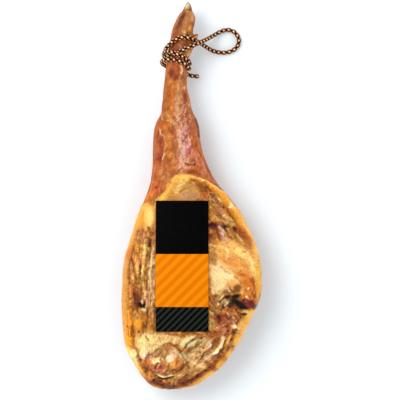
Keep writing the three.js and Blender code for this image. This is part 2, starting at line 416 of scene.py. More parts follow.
def make_rope():
    """The twisted rope: a core and four strands, with dots where a strand faces out; pale dots are painted
    highlights.
    """
    route = rope_route()
    along = np.arange(len(route)) * ROPE_STEP
    tangents, side, up = frames_along(route)
    points, faces, dyes_and_highlights = [], [], []

    def add(line, radius, count, dye_and_highlights):
        ring_points, ring_faces = tube_mesh(line, radius, count)
        start = sum(len(p) for p in points)
        points.append(ring_points)
        faces.extend(tuple(start + i for i in face) for face in ring_faces)
        dyes_and_highlights.append(np.repeat(dye_and_highlights, count, axis=0))

    add(route, CORE_RADIUS, CORE_SIDES, np.repeat(linear("160704")[None], len(route), axis=0))
    level = np.cross(tangents, (0, 0, 1.0))
    level /= np.maximum(np.linalg.norm(level, axis=1)[:, None], 1e-6)
    over_top = np.cross(level, tangents)
    for strand in range(STRANDS):
        turn = 2 * np.pi * (along / ROPE_LAY + strand / STRANDS)
        arm = np.cos(turn)[:, None] * side + np.sin(turn)[:, None] * up
        clock = np.arctan2(np.sum(arm * over_top, axis=1), np.sum(arm * level, axis=1))
        radius, start, full, dot_colour, between = DARK_STRAND if strand % 2 else PALE_STRAND
        # On the pale strands the dot colour is a painted highlight.
        shade = smoothstep(start, full, np.cos(DOTS_ROUND * clock)[:, None])
        dye_and_highlights = shade * linear(dot_colour) + (1 - shade) * linear(between)
        add(route + STRAND_ARM * arm, radius, STRAND_SIDES, dye_and_highlights)
    rope = mesh_object("rope", np.concatenate(points), faces, rope_material())
    dye_and_highlights = rope.data.color_attributes.new("dye_and_highlights", "FLOAT_COLOR", "POINT")
    colours = np.concatenate(dyes_and_highlights)
    rgba = np.column_stack([colours, np.ones(len(colours))])
    dye_and_highlights.data.foreach_set("color", rgba.astype(np.float32).ravel())
    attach(rope, "root")
    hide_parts("rope_turns", "rope_loop", "rope_tail")
    return rope


rope = make_rope()

# ---------------------------------------------------------------- the ham's fine surface
VOXEL = 0.0021
SMOOTHING_ROUNDS = 16
# Edge of the skin that is cut back in a V over the meat: y at each x, seen from above.
V_EDGE_X = [-150, -104, -95, -82, -72, -60, -50, -42, -33, -25, -16, -2, 16, 32, 45, 60, 76, 92, 150]
V_EDGE_Y = [-40, -27, -18, -12, -6, 0, 12, 24, 38, 43, 44, 40, 34, 27, 17, 3, -12, -30, -80]


def smoothed(points, edges, rounds, freedom):
    """Points moved towards their neighbours and back again, so facets go but the size stays."""
    count = np.bincount(edges.ravel(), minlength=len(points))[:, None]
    for step in [0.5, -0.53] * rounds:
        total = np.empty_like(points)
        for axis in range(3):
            pulls = np.concatenate([points[edges[:, 1], axis], points[edges[:, 0], axis]])
            total[:, axis] = np.bincount(edges.T.ravel(), pulls, len(points))
        points = points + freedom * step * (total / count - points)
    return points


def fine_ham_mesh():
    """The CAD ham as an even fine mesh without facets."""
    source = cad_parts["ham"]
    rough = source.data.copy()
    work = bmesh.new()
    work.from_mesh(rough)
    bmesh.ops.remove_doubles(work, verts=work.verts, dist=1e-5)
    work.to_mesh(rough)
    work.free()
    rough.materials.clear()
    holder = link(bpy.data.objects.new("ham_rough", rough))
    remesh = holder.modifiers.new("even", "REMESH")
    remesh.mode = "VOXEL"
    remesh.voxel_size = VOXEL
    mesh = bpy.data.meshes.new_from_object(holder.evaluated_get(bpy.context.evaluated_depsgraph_get()))
    bpy.data.objects.remove(holder)
    points = np.empty(len(mesh.vertices) * 3)
    mesh.vertices.foreach_get("co", points)
    edges = np.empty(len(mesh.edges) * 2, np.int64)
    mesh.edges.foreach_get("vertices", edges)
    points = points.reshape(-1, 3)
    freedom = 1 - 0.75 * smoothstep(0.355, 0.37, points[:, 1:2])
    points = smoothed(points, edges.reshape(-1, 2), SMOOTHING_ROUNDS, freedom)
    mesh.vertices.foreach_set("co", points.ravel())
    mesh.update()
    return mesh


def polyline_distance(xy, points):
    """Distance of each place from a line through points."""
    points = np.array(points, float)
    if len(points) == 1:
        return np.linalg.norm(xy - points[0], axis=1)
    best = np.full(len(xy), np.inf)
    for a, b in zip(points, points[1:]):
        way = b - a
        t = np.clip((xy - a) @ way / (way @ way), 0, 1)
        best = np.minimum(best, np.linalg.norm(xy - a - t[:, None] * way, axis=1))
    return best


def inside(xy, corners):
    """True for each place inside a polygon."""
    x, y = xy.T
    result = np.zeros(len(xy), bool)
    for (ax, ay), (bx, by) in zip(corners, corners[1:] + corners[:1]):
        crosses = (ay > y) != (by > y)
        with np.errstate(divide="ignore", invalid="ignore"):
            result ^= crosses & (x < (bx - ax) * (y - ay) / (by - ay) + ax)
    return result


def ellipse_distance(places, x, y, half_long, half_short, angle):
    """Distance of each place from an ellipse's middle: 1 on the ellipse."""
    turn = math.radians(angle)
    away = places - (x, y)
    along = away @ (math.cos(turn), math.sin(turn)) / half_long
    across = away @ (-math.sin(turn), math.cos(turn)) / half_short
    return np.hypot(along, across)


def limits_by_station(nearest, stations, values):
    """The least and greatest value at each station; infinite where a station has none."""
    low = np.full(stations, np.inf)
    high = np.full(stations, -np.inf)
    np.minimum.at(low, nearest, values)
    np.maximum.at(high, nearest, values)
    return low, high


class Canvas:
    """Colour, relief and gloss at every point of the ham, painted with strokes seen from above."""

    def __init__(self, points, normals):
        """Starts without colour or relief; the places are warped a little, so strokes look uneven."""
        self.points = points / MM
        self.normals = normals
        self.xy = self.points[:, :2]
        warp = np.column_stack([noise(self.points, 9, 5, 2), noise(self.points, 9, 6, 2)])
        fine_warp = np.column_stack([noise(self.points, 3.5, 7), noise(self.points, 3.5, 8)])
        self.place = self.xy + 2.0 * warp + 0.6 * fine_warp
        self.top = smoothstep(-0.05, 0.3, normals[:, 2])
        self.core = 0.1               # share of a patch that has its full colour
        self.broken = 0.45 + 0.55 * smoothstep(-0.35, 0.15, noise(self.points, 11, 9, 2))
        self.colour = np.zeros((len(points), 3))
        self.height = np.zeros(len(points))
        self.gloss = np.full(len(points), 0.35)
        self.lean = np.zeros(len(points))

    def tint(self, mask, colour):
        """Moves the colour towards another one by a share."""
        shade = linear(colour) if isinstance(colour, str) else colour
        self.colour += mask[:, None] * (shade - self.colour)

    def shade(self, mask, gain):
        """Lightens or darkens by a gain for red, green and blue."""
        self.colour *= 1 + mask[:, None] * (np.array(gain) - 1)

    def apply(self, mask, colour, opacity, height=0, gloss=None):
        """Adds colour and height on the upper side, and sets the gloss if one is given."""
        mask = mask * self.top
        self.tint(mask * opacity, colour)
        self.height += mask * height
        if gloss is not None:
            self.gloss += mask * (gloss - self.gloss)

    def patches(self, rows):
        """Soft ellipses: x, y, half length, half width, angle, colour, opacity, then height if any."""
        for x, y, half_long, half_short, angle, colour, opacity, *height in rows:
            away = ellipse_distance(self.place, x, y, half_long, half_short, angle)
            self.apply(smoothstep(1.3, self.core, away), colour, opacity, *height)

    def shades(self, rows):
        """Soft ellipses that lighten or darken: x, y, half length, half width, angle, gain."""
        for *ellipse, gain in rows:
            away = ellipse_distance(self.place, *ellipse)
            self.shade(smoothstep(1.35, 0.6, away) * self.top, gain)

    def lines(self, rows):
        """Strokes: half width, colour, opacity, height, then the points."""
        for half_width, colour, opacity, height, *route in rows:
            away = polyline_distance(self.place, route) / half_width
            self.apply(smoothstep(1.45, 0.35, away) * self.broken, colour, opacity, height)

    def calm(self, rows):
        """Smooth places without fibres: x, y, half length, half width, angle, share."""
        for *ellipse, share in rows:
            self.lean *= 1 - share * smoothstep(1.25, 0.7, ellipse_distance(self.xy, *ellipse))

    def dots(self, radius, colour, height, *centres):
        """Small round spots."""
        for centre in centres:
            away = polyline_distance(self.place, [centre]) / radius
            self.apply(smoothstep(1.5, 0.4, away), colour, 0.95, height)


# How wide the rim of fat is on the right, by how far it is below the hock, and on the left.
RIM_PLACES = [0, 40, 80, 100, 140, 185, 212, 236, 300, 345, 388]
RIM_WIDTHS = [16, 15, 11, 9, 12, 12, 5, 14, 14, 11, 6]
LEFT_RIM_WIDTH = 8
HALF_LENGTH = 387                # of the ham along y
EDGE_STATIONS = 200              # places along y where the ham's outline is found
UV_STATIONS = 80                 # places along y where the ham's middle is found


def ham_zones(c):
    """The tissues: skin all round, fat rim, lean face; and how far each place is from the outline."""
    p = c.points
    tree = KDTree(2 * EDGE_STATIONS)
    last = EDGE_STATIONS - 1
    edge_y = np.linspace(-HALF_LENGTH, HALF_LENGTH, EDGE_STATIONS)
    nearest = np.rint((p[:, 1] + HALF_LENGTH) / (2 * HALF_LENGTH) * last).astype(int)
    low, high = limits_by_station(np.clip(nearest, 0, last), EDGE_STATIONS, p[:, 0])
    for i in range(EDGE_STATIONS):
        tree.insert((low[i], edge_y[i], 0), 2 * i)
        tree.insert((high[i], edge_y[i], 0), 2 * i + 1)
    tree.balance()
    c.from_edge = np.array([tree.find((x, y, 0))[2] for x, y in c.xy])
    ragged = 0.13 * noise(p, 34, 31, 3) + 0.04 * noise(p, 8, 33)
    above = smoothstep(-0.1, 0.04, c.normals[:, 2] + ragged)
    below_v = np.interp(c.place[:, 0], V_EDGE_X, V_EDGE_Y) - c.place[:, 1]
    c.face = smoothstep(-1.2, 1.2, below_v) * above
    right_rim = np.interp(-p[:, 1], RIM_PLACES, RIM_WIDTHS)
    rim_width = np.where(p[:, 0] > 0, right_rim, LEFT_RIM_WIDTH) + 2.5 * noise(p, 40, 32)
    c.rim = c.face * smoothstep(rim_width + 3, rim_width - 1, c.from_edge)
    c.lean = c.face * (1 - c.rim)


def skin_colours(c):
    """The rind: orange brown with darker, redder and paler clouds, all the way round and underneath."""
    p = c.points
    c.colour[:] = linear("C4713A")
    c.tint(0.6 * smoothstep(-0.1, 0.5, noise(p, 60, 41, 3)), "DB8F4C")
    c.tint(0.55 * smoothstep(0.05, 0.5, noise(p, 38, 42, 3)), "A4552B")
    c.tint(0.4 * smoothstep(0.1, 0.5, noise(p, 16, 43, 3)), "CF6F49")
    c.tint(0.35 * smoothstep(0.15, 0.5, noise(p, 9, 44, 2)), "8E4722")
    under = smoothstep(0.2, -0.5, c.normals[:, 2]) * smoothstep(80, -60, p[:, 1])
    c.tint(0.5 * under, "C98D4B")
    c.tint(0.45 * under * smoothstep(0, 0.5, noise(p, 45, 45, 3)), "9A6230")
    c.tint(0.5 * smoothstep(300, 330, p[:, 1]), "B06A3E")


def shank_and_hock(c):
    """The skin between the rope and the V cut."""
    c.patches([
        (-44, 205, 34, 9, 92, "C0691F", 0.85), (-25, 200, 40, 9, 90, "CF9468", 0.8),
        (-3, 180, 40, 8, 88, "C8743C", 0.7), (-40, 245, 14, 9, 100, "A5532B", 0.8),
        (-40, 244, 14, 7, 75, "7A2C14", 0.9), (-32, 233, 9, 5, 60, "83301A", 0.8),
        (-30, 180, 24, 7, 92, "D6A27E", 0.6), (-56, 185, 22, 5, 95, "B8641C", 0.6),
        (-50, 160, 9, 9, 0, "D08A45", 0.7), (-63, 138, 12, 9, 70, "C05A1C", 0.85),
        (-48, 132, 10, 10, 0, "E08A40", 0.75), (-36, 128, 9, 6, 40, "CF6A45", 0.6),
        (-66, 100, 30, 6, 90, "C96A30", 0.8), (-64, 72, 28, 7, 92, "B24F2C", 0.7),
        (-62, 100, 14, 4, 80, "A5482E", 0.8), (-45, 95, 26, 6, 88, "CB752E", 0.85),
        (-25, 120, 18, 7, 92, "E6B8A4", 0.85), (-34, 108, 12, 5, 80, "C46A3E", 0.6),
        (-27, 165, 28, 6, 90, "E0A888", 0.6), (-20, 84, 22, 9, 95, "E2A890", 0.6),
        (-14, 128, 16, 9, 80, "D88E90", 0.85), (-13, 112, 9, 7, 100, "B4607A", 0.85),
        (-9, 98, 14, 8, 70, "DE9A98", 0.8), (2, 132, 22, 6, 95, "C9643A", 0.75),
        (10, 100, 26, 6, 100, "CC6A34", 0.7), (-5, 85, 8, 5, 110, "9E3A2C", 0.85),
        (-22, 92, 16, 7, 88, "DDA27C", 0.75), (-38, 80, 10, 6, 70, "DB9C5C", 0.75),
        (-35, 66, 8, 5, 20, "DD9A5E", 0.7), (-22, 68, 13, 7, 85, "D08A78", 0.75),
        (-5, 70, 8, 5, 60, "D9946A", 0.9, 0.6), (4, 80, 16, 4, 112, "D9806C", 0.7),
        (14, 62, 18, 5, 118, "D98472", 0.7), (18, 46, 9, 5, 130, "DE9484", 0.6),
        (-50, 35, 15, 10, 20, "D98C5C", 0.75), (-30, 52, 12, 6, 40, "D88B5A", 0.7),
        (-8, 52, 11, 6, 0, "D67C5E", 0.7), (8, 44, 12, 5, 155, "C85F34", 0.7),
        (-72, 44, 30, 6, 100, "C8673A", 0.8), (-70, 14, 18, 9, 100, "CF6238", 0.8),
        (-84, -4, 16, 8, 62, "DE7A22", 0.9), (-62, 14, 12, 6, 60, "D2603E", 0.7),
        (28, 58, 40, 5, 116, "B9552A", 0.7), (48, 26, 20, 4, 130, "9C3E22", 0.75),
    ])
    c.lines([
        (3.2, "A2432B", 0.9, -0.7, (-15, 200), (-12, 180), (-11.5, 165), (-11, 150)),
        (2.6, "8E2C1C", 0.75, -0.5, (-13, 206), (-12, 190)),
        (1.4, "F3C98C", 0.85, 0.9, (-61, 156), (-58, 151), (-51, 149), (-44, 147), (-40, 143)),
        (1.4, "ECBC80", 0.8, 0.7, (-51, 164), (-47, 159), (-42, 154), (-41, 145)),
        (1.3, "F1D3B0", 0.75, 0.7, (-34, 160), (-27, 152), (-23, 143)),
        (1.8, "EFC78E", 0.8, 0.7, (-36, 147), (-34, 139)),
        (2.8, "6A3420", 0.8, -0.8, (-65, 156), (-63, 151)),
        (1.3, "F5C596", 0.8, 0.8, (-64, 131), (-62, 121), (-57, 118)),
        (1.7, "97452A", 0.75, -0.6, (-46, 134), (-43, 127), (-38, 121)),
        (4.2, "A0442C", 0.75, -1.3, (-61, 112), (-58, 94), (-62, 77), (-65, 65)),
        (1.8, "EBA684", 0.85, 2.0, (-54, 117), (-51, 102), (-52, 88), (-56, 74), (-59, 60), (-59, 46)),
        # Painted highlight along the ridge.
        (1.5, "FBE3CE", 0.9, 0.5, (-53, 90), (-56, 76), (-57, 69)),
        (1.5, "E8BCA4", 0.65, 0.6, (-25, 128), (-23, 115), (-22, 100), (-22, 88)),
        (1.9, "E2A0A0", 0.7, 0.5, (-6, 112), (-3, 100), (0, 88)),
        # Painted shadow under the scar's pale crescent, also sunk as a groove.
        (1.7, "5E2A1C", 0.95, -1.2, (-13, 64), (-6, 60.5), (2, 58.5), (6, 61)),
        (1.2, "EBC0A0", 0.6, 0.8, (-14, 67), (-5, 64), (3, 62)),
        # Painted highlight on the shank below the rope.
        (2.6, "F4D6C4", 0.8, 0.3, (-22, 257), (-20, 249), (-22, 243)),
        (1.5, "E8BFA8", 0.6, 0.2, (-24, 238), (-25, 228)),
        (3.0, "582818", 0.9, -0.4, (8, 149), (14, 135), (15, 117)),
        (1.6, "EE9E82", 0.85, 1.4, (12, 82), (22, 64), (29, 44), (42, 29), (56, 13)),
        (2.8, "46140A", 0.95, -1.6, (51, 21), (62, 8)),
        (2.4, "9E3C20", 0.8, -0.8, (36, 38), (50, 24)),
        (1.3, "EDBB96", 0.75, 0.7, (-34, 42), (-27, 51), (-20, 58)),
        (1.2, "EAB48E", 0.7, 0.6, (-42, 50), (-34, 55)),
        (1.2, "EDBB96", 0.7, 0.6, (-31, 36), (-24, 44), (-18, 50)),
        (1.2, "E2A47E", 0.55, 0.5, (-64, 40), (-54, 46), (-44, 40)),
    ])
    c.lines([(1.7, "7A3010", 0.8, -1.2, (-66, 127), (-68, 116), (-66, 105))])
    c.dots(3.0, "9A4A14", -0.6, (-48, 172))
    c.dots(1.7, "2A1208", -0.8, (-77, 79), (-39, 78))
    c.dots(2.2, "96301A", -0.7, (-58, 5), (-70, 14))
    # Painted highlight: a white dot on the scar.
    c.dots(1.3, "FBE6DA", 0.5, (2, 65.5))
    centre = smoothstep(1.2, 0.5, np.hypot((c.place[:, 0] + 17) / 20, (c.place[:, 1] - 125) / 95))
    speckle = noise(c.points * (1, 0.7, 1), 3.2, 81)
    # The pale raised specks are painted glints.
    c.apply(centre * smoothstep(0.1, 0.5, speckle), "EDBFA4", 0.6, 0.4)
    c.apply(centre * smoothstep(-0.2, -0.6, speckle), "A0523A", 0.5, -0.4)
    c.gloss += 0.5 * centre
    c.dots(2.4, "ECCBA4", 0.5, (-16, 214))


def foot(c):
    """The pastern, claws and dewclaws, above the rope."""
    c.patches([
        (-24, 340, 30, 8, 72, "98502A", 0.85), (-12, 345, 24, 7, 78, "B87444", 0.8),
        (2, 358, 12, 5, 85, "C98F66", 0.85), (-20, 356, 5, 4, 60, "6E3018", 0.85, -0.5),
        (-9, 378, 12, 7, 80, "DCCBA8", 0.95), (-2, 378, 9, 3, 100, "4A2814", 0.85),
        (-8, 370, 6, 2.5, 10, "8A5A1C", 0.85), (-6, 331, 9, 4, 78, "DDA03E", 0.85),
        (-15, 325, 6, 4, 80, "D8B08A", 0.75), (9, 317, 6, 4, 60, "E8BE9E", 0.9),
        (-18, 298, 13, 7, 20, "8F4E3C", 0.8), (-30, 290, 10, 8, 60, "A86038", 0.6),
        (-5, 282, 11, 6, 100, "DDA96C", 0.9), (-26, 318, 14, 6, 75, "B46A3A", 0.6),
    ])
    c.lines([
        (2.0, "4A1C08", 0.85, -0.8, (-10, 331), (-11, 322), (-9, 316)),
        (1.8, "F0C8A0", 0.85, 0.4, (-24, 298), (-21, 293)),
        (1.8, "3C2012", 0.6, -0.4, (-18, 372), (-12, 371), (-4, 372), (2, 370)),
    ])


def v_cut(c):
    """The cut edge of skin and fat round the top of the meat, and the lean just inside it."""
    c.patches([
        (-12, 8, 34, 20, 0, "C99A60", 0.95), (-6, -2, 18, 10, 0, "BC9078", 0.7),
        (-28, 12, 12, 7, 60, "DDB273", 0.8), (20, 12, 18, 9, 140, "B07A3C", 0.85),
        (-20, 32, 19, 9, 8, "F4C672", 0.95, 0.8), (-62, -14, 18, 9, 50, "F4C25A", 0.95),
        (24, 8, 20, 8, 135, "A86A22", 0.8),
        (40, -4, 12, 7, 130, "C99B60", 0.8), (-34, -4, 10, 8, 0, "C9924E", 0.7),
    ])
    c.lines([
        (6.4, "E2A850", 0.6, 1.2, (-28, 33), (-38, 19), (-46, 5), (-56, -8)),
        (4.6, "F6C260", 0.9, 0.8, (-31, 36), (-41, 22), (-49, 8), (-58, -6)),
        (4.2, "EEAA46", 0.95, 2.0, (-3, 36), (16, 30), (31, 23), (44, 13), (62, -2), (78, -16)),
        (1.6, "FFE0A0", 0.85, 0.6, (-2, 37.5), (16, 32), (32, 25), (45, 15), (63, 1)),
        (1.9, "B3641E", 0.7, -1.0, (-4, 31), (14, 26), (28, 19), (41, 9), (56, -5)),
        (1.9, "6A3A10", 0.85, -1.0, (9, 24), (15, 15), (22, 6)),
        (1.7, "6E3C10", 0.8, -0.9, (17, 24), (24, 15), (31, 6)),
        (1.7, "75400F", 0.8, -0.9, (26, 21), (33, 14), (39, 6)),
        (2.4, "54230A", 0.95, -1.4, (38, 1), (42, -4)),
        (1.6, "E8CE98", 0.8, 0.5, (-27, 16), (-20, 20), (-14, 22)),
        (1.6, "8E5A2A", 0.6, -0.5, (-24, 6), (-12, 14), (0, 16)),
        (1.7, "F5E0B8", 0.85, 0.7, (36, -6), (40, -9)),
        (1.7, "F5E0B8", 0.85, 0.7, (52, -8), (56, -13)),
    ])
    c.dots(1.7, "6A4218", -0.8, (-16, 29.5))
    c.calm([(-22, 4, 34, 26, 0, 0.75), (-20, 34, 22, 11, 8, 0.95), (-46, 4, 10, 26, -28, 0.95)])


def left_strip(c):
    """The long muscle beside the label on the left, with its deep lengthwise splits."""
    c.patches([
        (-86, -42, 24, 12, 88, "F6D070", 1.0, 0.8), (-104, -48, 22, 7, 75, "F0B248", 0.95),
        (-83, -46, 18, 6, 88, "FAE08E", 0.9), (-112, -75, 20, 9, 72, "E9A84A", 0.9),
        (-105, -82, 16, 7, 80, "C18A5E", 0.85), (-112, -96, 10, 6, 80, "CC8D4A", 0.8),
        (-100, -150, 95, 25, 88, "C68D4C", 0.75), (-94, -100, 40, 8, 88, "DDAE70", 0.7),
        (-122, -115, 16, 6, 70, "CC7F32", 0.85), (-128, -190, 30, 7, 90, "E0A04A", 0.7),
        (-80, -150, 50, 8, 90, "D5B384", 0.8), (-84, -210, 30, 8, 88, "D6AE80", 0.8),
        (-86, -190, 22, 5, 85, "CFA088", 0.6), (-108, -172, 22, 6, 85, "B97D40", 0.7),
        # The 3A1A0A row darkens the sunk hole: painted shade.
        (-107, -212, 14, 9, 70, "80401A", 0.85), (-98, -218, 8, 6, 90, "3A1A0A", 0.8, -1.5),
        (-107, -236, 10, 10, 90, "C28A4C", 0.8), (-124, -244, 20, 8, 88, "E8A440", 0.9),
        (-106, -255, 13, 9, 80, "E8A336", 0.95, 2.2), (-88, -255, 18, 9, 88, "DCA05A", 0.9),
        (-124, -286, 18, 7, 85, "EEA930", 0.95, 1.2), (-108, -285, 10, 6, 80, "DFAE62", 0.8),
    ])
    c.lines([
        (1.7, "D99C48", 0.8, -0.6, (-96, -32), (-96, -50), (-97, -68)),
        (2.6, "5A2A0A", 0.85, -2.0, (-85, -66), (-88, -80), (-82, -92), (-81, -104), (-83, -121),
         (-82, -138)),
        (2.3, "844618", 0.7, -1.4, (-97, -70), (-99, -86), (-103, -100), (-105, -116), (-103, -134)),
        (2.6, "7A3E12", 0.75, -1.6, (-115, -104), (-120, -121), (-123, -141), (-125, -159),
         (-124, -176)),
        (2.3, "4A2008", 0.8, -1.8, (-116, -133), (-115, -149), (-110.5, -164), (-109, -183)),
        (2.1, "65320F", 0.7, -1.4, (-103, -137), (-102, -153), (-103, -174), (-101, -190)),
        (2.0, "95602C", 0.8, -1.4, (-88, -110), (-90.5, -129), (-89.5, -145), (-87.5, -164),
         (-88.5, -186)),
        (2.6, "3A2410", 0.9, -2.4, (-75, -140), (-74, -164)),
        (2.6, "E9C48C", 0.85, 1.4, (-93.5, -78), (-92.5, -96), (-93.5, -116), (-95.5, -137),
         (-96.5, -160)),
        (2.6, "DDBF92", 0.8, 1.2, (-79, -116), (-80.5, -137), (-80, -153), (-79, -174), (-80, -195)),
        (2.4, "DFAE70", 0.8, 1.1, (-109, -130), (-106, -153), (-107, -174)),
        (2.4, "E2B678", 0.8, 1.0, (-120, -135), (-119, -150), (-117, -166)),
        (2.2, "EAC694", 0.75, 1.0, (-96, -165), (-95, -184), (-92, -204)),
        (5.0, "6A2F0C", 0.85, -2.2, (-115, -190), (-113, -202), (-106, -212), (-105, -222)),
        # Near-black in the two holes: painted shade, also sunk.
        (3.2, "231004", 0.95, -2.6, (-103, -214), (-102, -222)),
        (2.8, "2A1206", 0.95, -2.4, (-95, -212), (-94, -222)),
        (2.4, "F4E0B4", 0.9, 0.8, (-98, -209), (-97.5, -214)),
        (2.4, "F6E8C0", 0.9, 0.8, (-100, -227), (-92, -227)),
        (2.0, "7E4416", 0.85, -1.4, (-88, -226), (-87, -245), (-90, -262)),
        (2.2, "8A5220", 0.8, -1.2, (-110, -228), (-104, -236), (-108, -245)),
        (1.8, "F2D9A0", 0.7, 0.7, (-112, -232), (-106, -240)),
        (3.0, "9A5A1C", 0.85, -1.6, (-120, -262), (-116, -282), (-116, -298)),
        (2.0, "F3D08A", 0.7, 0.8, (-78, -235), (-76, -255), (-76, -268)),
        (2.2, "B0702E", 0.7, -1.0, (-98, -250), (-94, -264), (-96, -274)),
    ])
    c.patches([
        (-97, -83, 16, 13, 90, "BC7E50", 0.7), (-107, -205, 18, 9, 80, "6E3A16", 0.75, -0.6),
        (-84, -96, 9, 4, 80, "5A2A10", 0.85, -1.0), (-78, -170, 60, 5, 90, "D2B08C", 0.7),
    ])
    # Painted shade: near-black dots in the holes.
    c.dots(3.0, "1C0C04", -1.8, (-103, -217), (-95, -219))
    c.dots(2.0, "F4EAD2", 0.6, (-99, -211), (-97, -226), (-91, -227))
    c.calm([(-88, -42, 20, 28, 0, 0.95), (-106, -252, 10, 18, 0, 0.6)])
    c.dots(2.6, "5A1E0C", -1.4, (-104.5, -271))
    c.dots(2.2, "8A5018", -1.0, (-122, -206), (-128, -261), (-120, -222))


def upper_right(c):
    """Right of the label's upper half: torn muscle, a deep fold and the orange band inside the rim."""
    c.patches([
        (28, 8, 20, 10, 130, "B0701E", 0.8), (46, -16, 24, 11, 110, "BE8E52", 0.9),
        (40, -26, 14, 7, 95, "B98A4A", 0.85), (54, -32, 15, 9, 115, "B67E62", 0.9),
        (74, -30, 28, 7, 125, "C98628", 0.9), (72, -50, 17, 8, 142, "C4A068", 0.9, 0.8),
        (42, -62, 12, 8, 0, "78360E", 0.95, -1.2), (44, -84, 14, 11, 90, "A5652A", 0.9),
        (66, -66, 9, 6, 130, "6A4A1E", 0.85, -1.0), (86, -90, 16, 9, 145, "9C651A", 0.9, -1.0),
        (88, -68, 8, 5, 135, "662506", 0.9, -0.6), (104, -84, 27, 9, 126, "BA661A", 0.9),
        (112, -99, 11, 5, 126, "B55A12", 0.9), (56, -100, 13, 5, 0, "D8A868", 0.8),
    ])
    c.lines([
        (1.9, "E6A03A", 0.7, 0.4, (68, -8), (80, -28), (94, -52), (108, -76)),
        (1.8, "7A4418", 0.8, -1.2, (38, 0), (46, -8), (52, -18)),
        (1.8, "E9D2A6", 0.8, 0.7, (50, -6), (56, -12)),
        (1.6, "8C5C2A", 0.75, -1.0, (44, -28), (50, -36), (50, -44)),
        (1.8, "F0CE9C", 0.9, 1.2, (48, -44), (52, -49), (59, -52), (66, -54)),
        (1.8, "E8C48C", 0.8, 1.0, (62, -42), (72, -45), (80, -53), (84, -60)),
        (2.0, "EFC790", 0.85, 1.0, (76, -56), (81, -60), (85, -61)),
        (2.6, "44240C", 0.92, -2.0, (50, -55), (58, -57), (66, -60), (75, -62)),
        (3.0, "5A2408", 0.9, -2.2, (34, -60), (42, -59), (50, -61)),
        (4.0, "C39CA2", 0.95, 1.8, (54, -61), (58, -70), (61, -78), (64, -86), (68, -92)),
        # Painted highlights on the lavender sinew.
        (1.6, "F6E8EA", 0.85, 0.6, (54, -63), (57, -68), (62, -70)),
        (1.5, "F6E8EA", 0.8, 0.6, (58, -76), (63, -80), (62, -84), (66, -88)),
        (2.2, "5E2A12", 0.9, -1.6, (65, -62), (68, -72), (71, -82), (76, -90)),
        (2.2, "D8B888", 0.85, 0.8, (70, -67), (73, -72), (75, -78)),
        (2.2, "5F2C10", 0.85, -1.4, (50, -68), (53, -78), (58, -92)),
        # Painted highlight along the ridge.
        (1.9, "FAE6D0", 0.95, 1.2, (89, -79), (94, -84), (98, -90), (102, -97)),
        (1.9, "6E3410", 0.85, -1.2, (84, -79), (91, -88), (97, -96)),
        (1.8, "7C3A10", 0.8, -0.8, (100, -98), (108, -101), (116, -106)),
        # Painted highlight along the fat rim.
        (2.0, "FFE9A8", 0.85, 0.8, (57, 5), (69, -8), (81, -28)),
        (1.8, "F6DC9C", 0.7, 0.7, (34, -98), (48, -102), (62, -100)),
    ])
    c.dots(2.0, "5A2208", -1.2, (41, -2), (47, -8), (62, -24), (88, -69), (84, -66))
    # Painted highlights on the rim.
    c.dots(2.6, "FFF6D8", 0.4, (78, -21), (75, -25))


